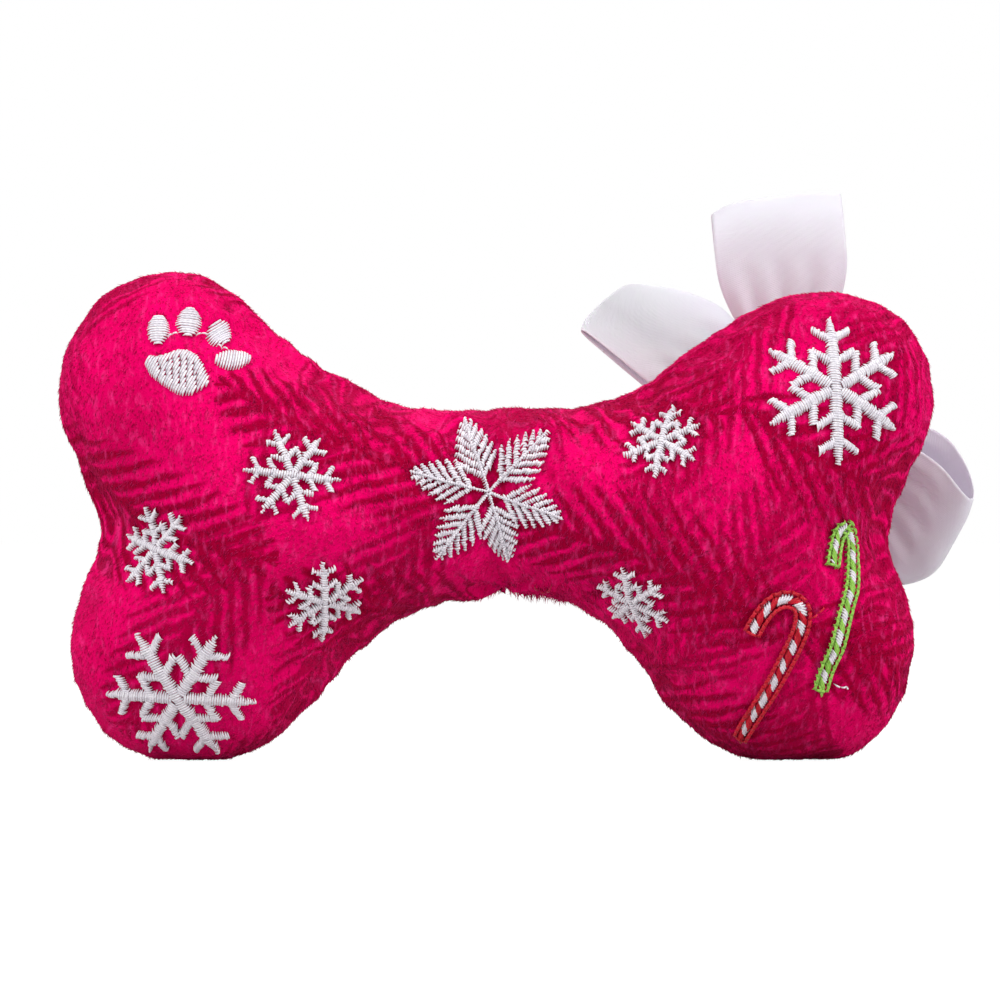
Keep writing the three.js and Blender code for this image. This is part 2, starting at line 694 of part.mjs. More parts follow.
// Where the middle of a loop's ribbon lies: runShare goes out along one layer, round the far fold and
// back along the other, and acrossShare goes from one edge of the ribbon to the other.
function ribbonPoint(loop, runShare, acrossShare) {
  const angle = Math.PI * runShare;
  const outShare = Math.sin(angle);
  const spread = THREE.MathUtils.smoothstep(outShare, 0, loop.openShare);
  const half = THREE.MathUtils.lerp(GATHERED_WIDTH, RIBBON_WIDTH, spread) / 2;
  const pleat = PLEAT_DEPTH * Math.cos(3 * Math.PI * acrossShare) * (1 - spread);
  const bulge = (LOOP_PUFF * loop.puffShare) / 2;
  const layer = (ROOT_SPACING / 2) * Math.cos(angle) + bulge * Math.sin(2 * angle);
  const twist = THREE.MathUtils.degToRad(THREE.MathUtils.lerp(loop.rootTwist, loop.tipTwist, outShare));
  const across = half * 2 * acrossShare;
  const length = LOOP_LENGTH * loop.lengthShare;
  const bend = length * outShare * outShare;
  return new THREE.Vector3(
    length * outShare,
    (layer + pleat) * Math.cos(twist) - across * Math.sin(twist) + loop.bowShare * bend,
    (layer + pleat) * Math.sin(twist) + across * Math.cos(twist) + loop.droopShare * bend,
  );
}

const RUN_STEPS = 22;
const ACROSS_STEPS = 5;
const NUDGE_SHARE = 0.001;

function ribbonLoop(loop) {
  const strip = new THREE.BoxGeometry(1, 1, 1, RUN_STEPS, ACROSS_STEPS, 1);
  const places = strip.attributes.position;
  for (let i = 0; i < places.count; i += 1) {
    const [run, across] = [places.getX(i) + 1 / 2, places.getY(i)];
    const side = Math.sign(places.getZ(i));
    const here = ribbonPoint(loop, run, across);
    const alongRun = ribbonPoint(loop, run + NUDGE_SHARE, across).sub(
      ribbonPoint(loop, run - NUDGE_SHARE, across),
    );
    const acrossRun = ribbonPoint(loop, run, across + NUDGE_SHARE).sub(
      ribbonPoint(loop, run, across - NUDGE_SHARE),
    );
    const normal = alongRun.cross(acrossRun).normalize();
    here.addScaledVector(normal, (side * RIBBON_THICKNESS) / 2);
    places.setXYZ(i, here.x, here.y, here.z);
  }
  return outwardFacing(strip);
}

// heading is the way a loop points, anticlockwise from +X as seen from the front; lean tips it back.
const LOOPS = [
  {
    name: "bow_loop_top", heading: 96, lean: 4, layer: 0,
    lengthShare: 1.025, puffShare: 1, openShare: 0.55,
    rootTwist: 0, tipTwist: 0, droopShare: 0, bowShare: 0.04,
  },
  {
    name: "bow_loop_left", heading: 148, lean: 11, layer: 1,
    lengthShare: 1, puffShare: 1.1, openShare: 0.6,
    rootTwist: 26, tipTwist: 64, droopShare: 0.08, bowShare: 0,
  },
  {
    name: "bow_loop_right", heading: -24, lean: 8, layer: 1,
    lengthShare: 0.95, puffShare: 1.3, openShare: 0.6,
    rootTwist: 10, tipTwist: 40, droopShare: -0.3, bowShare: 0,
  },
  {
    name: "bow_loop_lower", heading: -112, lean: 16, layer: 0,
    lengthShare: 0.95, puffShare: 1, openShare: 0.55,
    rootTwist: 0, tipTwist: 10, droopShare: 0, bowShare: 0.05,
  },
];

function backSkinAt(pixel) {
  const place = toMillimetres(pixel);
  const { point, normal } = skinAt(place.x, place.z);
  return { point: point.multiply(MIRROR_DEPTH), normal: normal.multiply(MIRROR_DEPTH) };
}

const BAND_DEPTH = 2 * LAYER_SPACING;

function bandProfile() {
  const half = BAND_DEPTH / 2;
  const waist = BAND_RADIUS - BAND_WAIST;
  return [
    [0, -half],
    [waist - BAND_WAIST, -half],
    [BAND_RADIUS, -half + BAND_WAIST],
    [waist, 0],
    [BAND_RADIUS, half - BAND_WAIST],
    [waist - BAND_WAIST, half],
    [0, half],
  ];
}

// Materials

const finish = (color, roughness) => new THREE.MeshStandardMaterial({ color, roughness, metalness: 0 });
const PLUSH = { color: 0xc40249, roughness: 0.92 };
const WHITE_THREAD = { color: 0xe9e2ea, roughness: 0.45 };
const RED_THREAD = { color: 0xc01c28, roughness: 0.45 };
const GREEN_THREAD = { color: 0x7cc142, roughness: 0.45 };
const SATIN = { color: 0xe9e6f0, roughness: 0.38 };
const STUFFING = { color: 0xf4f4f0, roughness: 0.95 };
const SOFT_PLASTIC = { color: 0xe8e4da, roughness: 0.5 };
const HARD_PLASTIC = { color: 0xf2f2f2, roughness: 0.35 };
const REED_FILM = { color: 0xd8dcde, roughness: 0.3 };

const toy = new THREE.Group();

function addPiece(parent, name, geometry, { color, roughness }) {
  const mesh = new THREE.Mesh(geometry, finish(color, roughness));
  mesh.name = name;
  parent.add(mesh);
  return mesh;
}

// Assembly of the bone

const bone = new THREE.Group();
bone.position.z = -STANDING_FLAT_DEPTH;
toy.add(bone);
addPiece(bone, "front_panel", plushPanel(boneForm, false), PLUSH);
addPiece(bone, "back_panel", plushPanel(boneForm, true), PLUSH);

// The squeaker's axis runs from front to back, with its reed holder towards the back panel.
const squeaker = new THREE.Group();
squeaker.position.copy(toMillimetres(SQUEAKER_PIXEL));
bone.add(squeaker);
addPiece(squeaker, "squeaker_bladder", revolved(bladderProfile()), SOFT_PLASTIC);
addPiece(squeaker, "squeaker_reed_holder", revolved(holderProfile()), HARD_PLASTIC);
const reed = new THREE.BoxGeometry(REED_WIDTH, REED_LENGTH, REED_THICKNESS);
const reedMesh = addPiece(squeaker, "squeaker_reed", reed, REED_FILM);
reedMesh.position.y = reedMiddle();

stuffingWads(squeaker.position).forEach(({ name, geometry }) => addPiece(bone, name, geometry, STUFFING));

FLAKES.forEach(({ name, style, centre, angles }) => {
  addPiece(bone, name, snowflake({ ...FLAKE_STYLES[style], centre, angles }), WHITE_THREAD);
});
PAW_PATCHES.forEach((patch) => addPiece(bone, patch.name, domedPatch(patch), WHITE_THREAD));
addPiece(bone, "candy_cane_red", candyCane(RED_CANE_PIXELS, RED_CANE_WIDTH), RED_THREAD);
addPiece(bone, "candy_cane_green", candyCane(GREEN_CANE_PIXELS, GREEN_CANE_WIDTH), GREEN_THREAD);

// Assembly of the bow, square to the skin where its band is tacked down.

const bow = new THREE.Group();
const knot = backSkinAt(BOW_KNOT_PIXEL);
bow.quaternion.setFromUnitVectors(new THREE.Vector3(0, 1, 0), knot.normal);
bow.position.copy(knot.point).addScaledVector(knot.normal, SEAT_GAP + BAND_DEPTH / 2);
bone.add(bow);
addPiece(bow, "bow_band", revolved(bandProfile()), SATIN);
LOOPS.forEach((loop) => {
  const root = new THREE.Group();
  const heading = THREE.MathUtils.degToRad(loop.heading);
  const reach = BAND_RADIUS + ROOT_CLEARANCE;
  root.position.set(
    reach * Math.cos(heading),
    (loop.layer - 1 / 2) * LAYER_SPACING,
    reach * Math.sin(heading),
  );
  root.rotation.set(0, -heading, THREE.MathUtils.degToRad(loop.lean), "YXZ");
  bow.add(root);
  addPiece(root, loop.name, ribbonLoop(loop), SATIN);
});

// The toy's origin: the middle of its box, at the ground.
const box = new THREE.Box3().setFromObject(toy, true);
bone.position.x -= (box.min.x + box.max.x) / 2;
bone.position.y -= (box.min.y + box.max.y) / 2;

export default toy;
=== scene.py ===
"""A plush bone dog toy with raised embroidery and a ribbon bow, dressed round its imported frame.

Everything is in metres. X runs along the bone, Y from its embroidered front to its back and Z up.
"""

import json
import logging
import math
from dataclasses import dataclass, field
from enum import Enum
from typing import Any, Callable, Optional, Sequence, Union

import bmesh
import bpy
import numpy as np
from mathutils import Matrix, Vector, noise
from mathutils.bvhtree import BVHTree
from mathutils.kdtree import KDTree


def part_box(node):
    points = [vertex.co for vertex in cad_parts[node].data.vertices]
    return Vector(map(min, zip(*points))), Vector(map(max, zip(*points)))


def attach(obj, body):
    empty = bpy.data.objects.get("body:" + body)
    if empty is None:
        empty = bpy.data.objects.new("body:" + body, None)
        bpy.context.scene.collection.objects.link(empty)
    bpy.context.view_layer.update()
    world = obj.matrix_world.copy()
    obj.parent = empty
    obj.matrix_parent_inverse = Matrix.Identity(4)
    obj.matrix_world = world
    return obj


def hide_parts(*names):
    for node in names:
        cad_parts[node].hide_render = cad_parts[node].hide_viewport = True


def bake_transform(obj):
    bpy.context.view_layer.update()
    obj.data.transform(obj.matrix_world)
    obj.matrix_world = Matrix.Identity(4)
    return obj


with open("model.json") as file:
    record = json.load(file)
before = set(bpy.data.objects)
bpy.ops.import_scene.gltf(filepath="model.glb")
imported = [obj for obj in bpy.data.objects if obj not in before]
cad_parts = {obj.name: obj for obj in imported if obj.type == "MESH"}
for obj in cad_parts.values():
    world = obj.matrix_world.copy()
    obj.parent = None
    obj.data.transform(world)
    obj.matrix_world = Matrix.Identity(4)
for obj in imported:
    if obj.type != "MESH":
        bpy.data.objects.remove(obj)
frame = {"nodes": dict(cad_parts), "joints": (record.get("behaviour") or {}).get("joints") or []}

LOG = logging.getLogger("plush_bone")
MM = 0.001
CLOTH_PLACE = "cut"
SHADE = "shade"
TIP = "tip"
THREAD_COORDINATE = "thread"
Pixel = Sequence[float]
Colour = tuple[float, float, float]


def clear_start_up_scene() -> None:
    """Removes what an empty scene starts with, so that only the frame is left."""
    for name in ("Cube", "Light", "Camera"):
        if name in bpy.data.objects:
            bpy.data.objects.remove(bpy.data.objects[name])


clear_start_up_scene()
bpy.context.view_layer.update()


# Shader maths


class Wire:
    """A shader socket that can be written in arithmetic, which adds its Math nodes."""

    def __init__(self, graph: "Graph", socket: bpy.types.NodeSocket) -> None:
        """Wraps an output socket of the graph."""
        self.graph = graph
        self.socket = socket

    def __add__(self, other: "Term") -> "Wire":
        """The sum."""
        return self.graph.maths("ADD", self, other)

    __radd__ = __add__

    def __sub__(self, other: "Term") -> "Wire":
        """The difference."""
        return self.graph.maths("SUBTRACT", self, other)

    def __rsub__(self, other: "Term") -> "Wire":
        """The difference, taken from the other term."""
        return self.graph.maths("SUBTRACT", other, self)

    def __mul__(self, other: "Term") -> "Wire":
        """The product."""
        return self.graph.maths("MULTIPLY", self, other)

    __rmul__ = __mul__

    def __truediv__(self, other: "Term") -> "Wire":
        """The quotient."""
        return self.graph.maths("DIVIDE", self, other)

    def __rtruediv__(self, other: "Term") -> "Wire":
        """The quotient, with this as the divisor."""
        return self.graph.maths("DIVIDE", other, self)

    def __pow__(self, other: "Term") -> "Wire":
        """The power."""
        return self.graph.maths("POWER", self, other)

    def apply(self, operation: str, *others: "Term") -> "Wire":
        """Any other Math node's operation on this value."""
        return self.graph.maths(operation, self, *others)

    def eased(self, low: float, high: float) -> "Wire":
        """0 at low and 1 at high, with a soft start and end.

        Args:
            low: where it starts.
            high: where it ends.

        Returns:
            The eased value.
        """
        return self.graph.node(
            "ShaderNodeMapRange",
            {"interpolation_type": "SMOOTHSTEP"},
            {"Value": self, "From Min": low, "From Max": high},
        )


Term = Union[Wire, float]


class Graph:
    """The node tree of one material, or of the world."""

    def __init__(self, name: str, world: Optional[bpy.types.World] = None) -> None:
        """Starts an empty tree for a new material of that name, or for the world that is given.

        Args:
            name: the material's name.
            world: the world, where it isn't a material.
        """
        self.owner = world or bpy.data.materials.new(name)
        self.owner.use_nodes = True
        self.tree = self.owner.node_tree
        self.tree.nodes.clear()

    def add(self, kind: str, settings: dict[str, Any], inputs: dict) -> bpy.types.Node:
        """Adds a node, with its own properties set before its sockets.

        Args:
            kind: the node's type.
            settings: its own properties.
            inputs: its sockets by name or number.

        Returns:
            The node.
        """
        made = self.tree.nodes.new(kind)
        for key, value in settings.items():
            setattr(made, key, value)
        for key, value in inputs.items():
            if isinstance(value, Wire):
                self.tree.links.new(value.socket, made.inputs[key])
            else:
                made.inputs[key].default_value = value
        return made

    def node(
        self, kind: str, settings: Optional[dict[str, Any]] = None, inputs: Optional[dict] = None,
        output: Union[int, str] = 0,
    ) -> Wire:
        """Adds a node and gives one of its outputs.

        Args:
            kind: the node's type.
            settings: its own properties, set before its sockets.
            inputs: its sockets by name or number, each with a value or a wire.
            output: the output socket that is wanted.

        Returns:
            The wire that leaves that output.
        """
        return Wire(self, self.add(kind, settings or {}, inputs or {}).outputs[output])

    def maths(self, operation: str, *terms: Term) -> Wire:
        """A Math node on one to three values."""
        return self.node("ShaderNodeMath", {"operation": operation}, dict(enumerate(terms)))

    def blend(self, factor: Term, low: Union[Wire, Colour], high: Union[Wire, Colour]) -> Wire:
        """A colour between two others.

        Args:
            factor: how much of the second colour.
            low: the first colour.
            high: the second colour.

        Returns:
            The colour.
        """
        colours = [c if isinstance(c, Wire) else (*c, 1.0) for c in (low, high)]
        return self.node(
            "ShaderNodeMix", {"data_type": "RGBA"}, {0: factor, 6: colours[0], 7: colours[1]}, output=2
        )

    def attribute(self, name: str, output: str) -> Wire:
        """A value that the piece's own mesh carries."""
        return self.node("ShaderNodeAttribute", {"attribute_name": name}, output=output)

    def parts(self, vector: Wire) -> list[Wire]:
        """The three numbers of a vector."""
        split = self.node("ShaderNodeSeparateXYZ", inputs={0: vector})
        return [Wire(self, split.socket.node.outputs[i]) for i in range(3)]

    def joined(self, x: Term, y: Term, z: Term = 0.0) -> Wire:
        """A vector of three numbers."""
        return self.node("ShaderNodeCombineXYZ", inputs={0: x, 1: y, 2: z})

    def noise(self, vector: Wire, scale: float, detail: float = 2.0, output: str = "Fac") -> Wire:
        """Smooth noise from 0 to 1.

        Args:
            vector: the place.
            scale: how many waves to a unit.
            detail: how many finer layers.
            output: Fac or Color.

        Returns:
            The noise.
        """
        inputs = {"Vector": vector, "Scale": scale, "Detail": detail}
        return self.node("ShaderNodeTexNoise", inputs=inputs, output=output)

    def object_place(self) -> Wire:
        """The place on the piece, in metres."""
        return self.node("ShaderNodeTexCoord", output="Object")

    def bumped(self, height: Wire, strength: float, distance: float) -> Wire:
        """A surface direction roughened by a height.

        Args:
            height: the height.
            strength: how much it counts.
            distance: how deep it is, in metres.

        Returns:
            The direction.
        """
        return self.node(
            "ShaderNodeBump", inputs={"Height": height, "Strength": strength, "Distance": distance}
        )

    def surface(
        self, colour: Union[Wire, Colour], fixed: dict[str, Any], **varying: Wire
    ) -> bpy.types.Material:
        """Closes the material with one Principled surface.

        Args:
            colour: its base colour.
            fixed: sockets that are the same all over.
            varying: sockets that follow a pattern, by name.

        Returns:
            The finished material.
        """
        base = colour if isinstance(colour, Wire) else (*colour, 1.0)
        shader = self.node("ShaderNodeBsdfPrincipled", inputs={"Base Color": base, **fixed, **varying})
        self.close(shader)
        return self.owner

    def close(self, shader: Wire, output: str = "ShaderNodeOutputMaterial") -> None:
        """Links the shader to the tree's output node."""
        self.add(output, {}, {"Surface": shader})


# Finishes


@dataclass(frozen=True)
class BoughRow:
    """One sheet of the printed boughs, laid in cells like bricks. Lengths are in millimetres."""

    turn: float
    length: float
    width: float
    needle_pitch: float
    sweep: float
    strength: float
    seed: float

    def mask(self, graph: Graph, cloth: Wire) -> Wire:
        """How dark this sheet prints the cloth.

        Args:
            graph: the material's tree.
            cloth: the place on the flat cloth, in millimetres.

        Returns:
            0 on bare ground and up to 1 on a needle or a stem.
        """
        turned = graph.node(
            "ShaderNodeVectorRotate",
            {"rotation_type": "Z_AXIS"},
            {"Vector": cloth, "Angle": math.radians(self.turn)},
        )
        x, y, _ = graph.parts(turned)
        row = (y / self.width).apply("FLOOR")
        shifted = x + row * (0.41 * self.length)
        column = (shifted / self.length).apply("FLOOR")
        luck = graph.node(
            "ShaderNodeTexWhiteNoise",
            {"noise_dimensions": "3D"},
            {"Vector": graph.joined(column, row, self.seed)},
            output="Color",
        )
        keep, way, bend = graph.parts(luck)
        direction = (way.apply("GREATER_THAN", 0.5) - 0.5) * 2.0
        along = (shifted - (column + 0.5) * self.length) * direction
        across = y - (row + 0.5) * self.width - (bend - 0.5) * 0.014 * along * along
        side = across.apply("ABSOLUTE")
        fall = (1.0 - (along / (0.5 * self.length)) ** 2.0).apply("MAXIMUM", 0.0)
        reach = fall ** 0.55 * (0.47 * self.width)
        out = side / (reach + 0.01)
        step = (along - side * self.sweep) / self.needle_pitch + across.apply("GREATER_THAN", 0.0) * 0.45
        ripple = (step.apply("FRACT") - 0.5).apply("ABSOLUTE") * 2.0
        thick = (1.0 - out).apply("MAXIMUM", 0.0) ** 0.4 * 0.78
        needles = (ripple - thick).eased(0.24, -0.34) * out.eased(1.0, 0.8)
        stem = side.eased(1.5, 0.5) * (along / (0.5 * self.length)).apply("ABSOLUTE").eased(0.95, 0.8)
        return needles.apply("MAXIMUM", stem) * keep.apply("GREATER_THAN", 0.25) * self.strength


PRINT_ROWS = (
    BoughRow(turn=22, length=58, width=29, needle_pitch=5.2, sweep=1.35, strength=0.95, seed=2.0),
    BoughRow(turn=-56, length=52, width=27, needle_pitch=4.8, sweep=1.5, strength=0.75, seed=7.0),
    BoughRow(turn=99, length=62, width=31, needle_pitch=5.6, sweep=1.2, strength=0.5, seed=11.0),
)


@dataclass(frozen=True)
class PlushFinish:
    """Short-pile plush in hot pink, with darker boughs printed on it and painted sheen in streaks along
    its nap.
    """

    ground: Colour = (0.80, 0.0008, 0.124)
    printed: Colour = (0.27, 0.0, 0.016)
    # The colour of the painted sheen on the nap and of the painted highlight on the locks' tips.
    painted_sheen: Colour = (1.0, 0.065, 0.35)
    bough_weight: float = 0.92
    broad_weight: float = 0.38
    sheen_streak_weight: float = 0.36

    def material(self, name: str, pile: bool) -> bpy.types.Material:
        """The cloth's material.

        Args:
            name: the material's name.
            pile: true for the locks of the pile, false for the cloth that they stand on.

        Returns:
            The material, which reads the flat cloth's coordinate from the mesh.
        """
        graph = Graph(name)
        cloth = graph.node(
            "ShaderNodeVectorMath", {"operation": "SCALE"},
            {0: graph.attribute(CLOTH_PLACE, "Vector"), "Scale": 1000.0},
        )
        wander = graph.noise(cloth, 0.35, 1.0, "Color")
        pushed = graph.node(
            "ShaderNodeVectorMath", {"operation": "MULTIPLY_ADD"},
            {0: wander, 1: (1.6, 1.6, 0.0), 2: cloth},
        )
        dark: Term = 0.0
        for row in PRINT_ROWS:
            mask = row.mask(graph, pushed)
            dark = mask if isinstance(dark, float) else dark.apply("MAXIMUM", mask)
        broad = graph.noise(cloth, 0.055, 2.0)
        sheen_streaks = graph.noise(
            graph.node("ShaderNodeMapping", inputs={
                "Vector": cloth, "Rotation": (0.0, 0.0, math.radians(14)), "Scale": (0.9, 0.3, 1.0),
            }), 1.0, 3.0,
        )
        colour = graph.blend(dark * self.bough_weight, self.ground, self.printed)
        colour = graph.blend(broad.eased(0.42, 0.72) * self.broad_weight, colour, self.printed)
        # Painted sheen: lighter streaks along the nap, where it would catch the light.
        colour = graph.blend(sheen_streaks.eased(0.50, 0.8) * self.sheen_streak_weight, colour, self.painted_sheen)
        fixed: dict[str, Any] = {
            "Roughness": 0.9, "Specular IOR Level": 0.06, "Specular Tint": (1.0, 0.02, 0.2, 1.0),
            "Sheen Weight": 0.28, "Sheen Roughness": 0.4, "Sheen Tint": (1.0, 0.07, 0.33, 1.0),
        }
        if pile:
            shade = graph.attribute(SHADE, "Fac")
            tip = graph.attribute(TIP, "Fac")
            # Painted highlight towards each lock's tip, together with a random lighter tone per lock.
            lift = shade.eased(0.5, 1.0) * 0.20 + tip * 0.08
            colour = graph.blend(lift, colour, self.painted_sheen)
            # Painted shade towards each lock's root, together with a random darker tone per lock.
            colour = graph.blend((1.0 - tip) * 0.10 + shade.eased(0.3, 0.0) * 0.2, colour, self.printed)
            return graph.surface(colour, fixed)
        grain = graph.noise(graph.object_place(), 2600.0, 3.0)
        return graph.surface(colour, fixed, Normal=graph.bumped(grain, 0.6, 0.0004))


@dataclass(frozen=True)
class ThreadFinish:
    """Lustrous embroidery thread of two plies."""

    colour: Colour
    shade_colour: Colour
    twist_pitch: float = 0.0009
    roughness: float = 0.4

    def material(self, name: str) -> bpy.types.Material:
        """The thread's material, with its plies, painted shade in the grooves between them, and a slight
        change from stitch to stitch.

        Args:
            name: the material's name.

        Returns:
            The material.
        """
        graph = Graph(name)
        along, cosine, sine = graph.parts(graph.attribute(THREAD_COORDINATE, "Vector"))
        phase = along * (2 * math.pi / self.twist_pitch)
        plies = phase.apply("SINE") * cosine + phase.apply("COSINE") * sine
        shade = graph.attribute(SHADE, "Fac")
        # Painted shade in the grooves between the plies, over a random darker tone per stitch.
        colour = graph.blend(shade * 0.55 + plies.eased(0.2, -1.0) * 0.25, self.colour, self.shade_colour)
        fixed = {"Roughness": self.roughness, "Specular IOR Level": 0.3, "Anisotropic": 0.4,
                 "Sheen Weight": 0.08}
        return graph.surface(colour, fixed, Normal=graph.bumped(plies, 0.35, 0.00008))


@dataclass(frozen=True)
class SatinFinish:
    """White satin ribbon, whose fine twill runs at a slant across it."""

    face: Colour = (0.71, 0.68, 0.76)
    shaded: Colour = (0.64, 0.58, 0.70)
    yarn_pitch: float = 0.00042

    def material(self, name: str) -> bpy.types.Material:
        """The ribbon's material, which follows the ribbon's own length and width.

        Args:
            name: the material's name.

        Returns:
            The material.
        """
        graph = Graph(name)
        uv = graph.node("ShaderNodeUVMap", {"uv_map": "ribbon"})
        along, across, _ = graph.parts(uv)
        slant = (along + across * 0.62) / self.yarn_pitch
        weft = along / (self.yarn_pitch * 0.8) + across / (self.yarn_pitch * 2.2)
        twill = (slant * (2 * math.pi)).apply("SINE") * 0.6 + (weft * (2 * math.pi)).apply("SINE") * 0.4
        cloudy = graph.noise(uv, 130.0, 3.0)
        # Painted shade in the twill's valleys, plus a random cloudy tone.
        weave_shade_and_mottle = twill.eased(0.5, -1.0) * 0.3 + cloudy.eased(0.45, 0.8) * 0.25
        colour = graph.blend(weave_shade_and_mottle, self.face, self.shaded)
        fixed = {
            "Specular IOR Level": 0.4, "Anisotropic": 0.5, "Sheen Weight": 0.2, "Sheen Roughness": 0.35,
            "Subsurface Weight": 0.65, "Subsurface Scale": 0.001, "Subsurface Radius": (1.0, 0.8, 1.0),
        }
        rough = 0.42 + cloudy * 0.12
        return graph.surface(colour, fixed, Roughness=rough, Normal=graph.bumped(twill, 0.35, 0.00006))


@dataclass(frozen=True)
class FibreFinish:
    """White polyester filling."""

    light: Colour = (0.86, 0.86, 0.83)
    # deep is the painted shade in the hollows between the fibres.
    deep: Colour = (0.60, 0.61, 0.60)

    def material(self, name: str) -> bpy.types.Material:
        """Matted fibres, with painted shade in the hollows between them.

        Args:
            name: the material's name.

        Returns:
            The material.
        """
        graph = Graph(name)
        place = graph.object_place()
        drawn = graph.node("ShaderNodeMapping", inputs={"Vector": place, "Scale": (300.0, 900.0, 500.0)})
        strands = graph.noise(drawn, 1.0, 5.0)
        tufts = graph.noise(place, 240.0, 3.0)
        # Painted shade: the deep colour fills the hollows between strands and tufts.
        colour = graph.blend((strands * tufts).eased(0.34, 0.12), self.light, self.deep)
        fixed = {"Roughness": 0.95, "Sheen Weight": 0.5}
        return graph.surface(colour, fixed, Normal=graph.bumped(strands + tufts, 0.8, 0.0006))


@dataclass(frozen=True)
class MouldedFinish:
    """Moulded plastic with a fine grain and a cloudy surface."""

    light: Colour
    deep: Colour
    roughness: float
    grain: float
    coat: float = 0.0

    def material(self, name: str) -> bpy.types.Material:
        """The plastic's material.

        Args:
            name: the material's name.

        Returns:
            The material.
        """
        graph = Graph(name)
        place = graph.object_place()
        cloudy = graph.noise(place, 190.0, 4.0)
        grain = graph.noise(place, 4200.0, 2.0)
        colour = graph.blend(cloudy.eased(0.35, 0.75), self.light, self.deep)
        fixed = {"Specular IOR Level": 0.5, "Coat Weight": self.coat, "Subsurface Weight": 0.0}
        rough = self.roughness + (cloudy - 0.5) * 0.14
        roughened = graph.bumped(grain, self.grain, 0.0001)
        return graph.surface(colour, fixed, Roughness=rough, Normal=roughened)


PLUSH = PlushFinish()
WHITE_THREAD = ThreadFinish((0.83, 0.80, 0.84), (0.62, 0.58, 0.66))
RED_THREAD = ThreadFinish((0.62, 0.001, 0.022), (0.34, 0.0005, 0.010))
GREEN_THREAD = ThreadFinish((0.34, 0.64, 0.10), (0.15, 0.38, 0.03))
PINK_THREAD = ThreadFinish((0.42, 0.001, 0.045), (0.22, 0.0005, 0.02))
SATIN = SatinFinish()
FILLING = FibreFinish()
BLADDER = MouldedFinish((0.80, 0.77, 0.68), (0.70, 0.66, 0.56), 0.5, 0.25)
HOLDER = MouldedFinish((0.88, 0.88, 0.88), (0.80, 0.81, 0.83), 0.3, 0.1, coat=0.4)
REED = MouldedFinish((0.70, 0.72, 0.74), (0.60, 0.63, 0.66), 0.35, 0.1)


# Meshes


def new_object(
    name: str, mesh: bpy.types.Mesh, material: Optional[bpy.types.Material] = None
) -> bpy.types.Object:
    """Puts a mesh in the scene.

    Args:
        name: the object's name.
        mesh: its mesh.
        material: its only material, if it has one yet.

    Returns:
        The new object, at the origin.
    """
    piece = bpy.data.objects.new(name, mesh)
    bpy.context.scene.collection.objects.link(piece)
    if material:
        mesh.materials.clear()
        mesh.materials.append(material)
    return piece


def object_of(
    name: str, shape: bmesh.types.BMesh, material: Optional[bpy.types.Material] = None
) -> bpy.types.Object:
    """Turns a bmesh into a smooth object and frees it.

    Args:
        name: the object's name.
        shape: the bmesh.
        material: its only material, if it has one yet.

    Returns:
        The new object.
    """
    mesh = bpy.data.meshes.new(name)
    for face in shape.faces:
        face.smooth = True
    shape.to_mesh(mesh)
    shape.free()
    return new_object(name, mesh, material)


def modify(piece: bpy.types.Object, name: str, kind: str, **settings: Any) -> bpy.types.Modifier:
    """Adds a modifier with its settings.

    Args:
        piece: the object.
        name: the modifier's name.
        kind: its type.
        settings: its properties.

    Returns:
        The modifier.
    """
    modifier = piece.modifiers.new(name, kind)
    for key, value in settings.items():
        setattr(modifier, key, value)
    return modifier


def smooth(shape: bmesh.types.BMesh, passes: int = 1) -> None:
    """Draws each vertex half way to the middle of its neighbours.

    Args:
        shape: the bmesh.
        passes: how often.
    """
    for _ in range(passes):
        bmesh.ops.smooth_vert(
            shape, verts=shape.verts, factor=0.5, use_axis_x=True, use_axis_y=True, use_axis_z=True
        )


def slice_through(
    shape: bmesh.types.BMesh, place: Sequence[float], normal: Sequence[float], **options: Any
) -> None:
    """Cuts all of a bmesh along a plane.

    Args:
        shape: the bmesh.
        place: a point of the plane.
        normal: the plane's direction.
        options: the operator's other settings.
    """
    bmesh.ops.bisect_plane(
        shape, geom=shape.verts[:] + shape.edges[:] + shape.faces[:], plane_co=place, plane_no=normal,
        **options,
    )


def finished_copy(source: bpy.types.Object) -> bmesh.types.BMesh:
    """The mesh of an object with its modifiers applied; the object itself is removed.

    Args:
        source: the object.

    Returns:
        The finished mesh.
    """
    depsgraph = bpy.context.evaluated_depsgraph_get()
    shape = bmesh.new()
    shape.from_mesh(source.evaluated_get(depsgraph).to_mesh())
    bpy.data.objects.remove(source)
    return shape


def merged_node(node: str) -> bmesh.types.BMesh:
    """A merged copy of a CAD node's loose triangles.

    Args:
        node: the node's name.

    Returns:
        The copy.
    """
    shape = bmesh.new()
    shape.from_mesh(frame["nodes"][node].data)
    bmesh.ops.remove_doubles(shape, verts=shape.verts, dist=1e-6)
    return shape


def set_attribute(mesh: bpy.types.Mesh, name: str, kind: str, values: np.ndarray) -> None:
    """Writes one value per vertex.

    Args:
        mesh: the mesh.
        name: the attribute's name.
        kind: FLOAT or FLOAT_VECTOR.
        values: one row per vertex.
    """
    layer = mesh.attributes.new(name, kind, "POINT")
    key = "vector" if kind == "FLOAT_VECTOR" else "value"
    layer.data.foreach_set(key, values.astype(np.float32).ravel())


def read_rows(entries: Any, key: str, kind: type) -> np.ndarray:
    """Three numbers for each entry of one of a mesh's lists.

    Args:
        entries: the list.
        key: the property that is read.
        kind: the type of its numbers.

    Returns:
        One row per entry.
    """
    values = np.empty(len(entries) * 3, kind)
    entries.foreach_get(key, values)
    return values.reshape(-1, 3)


def unit(rows: np.ndarray) -> np.ndarray:
    """The same directions, one unit long."""
    return rows / np.linalg.norm(rows, axis=-1, keepdims=True)


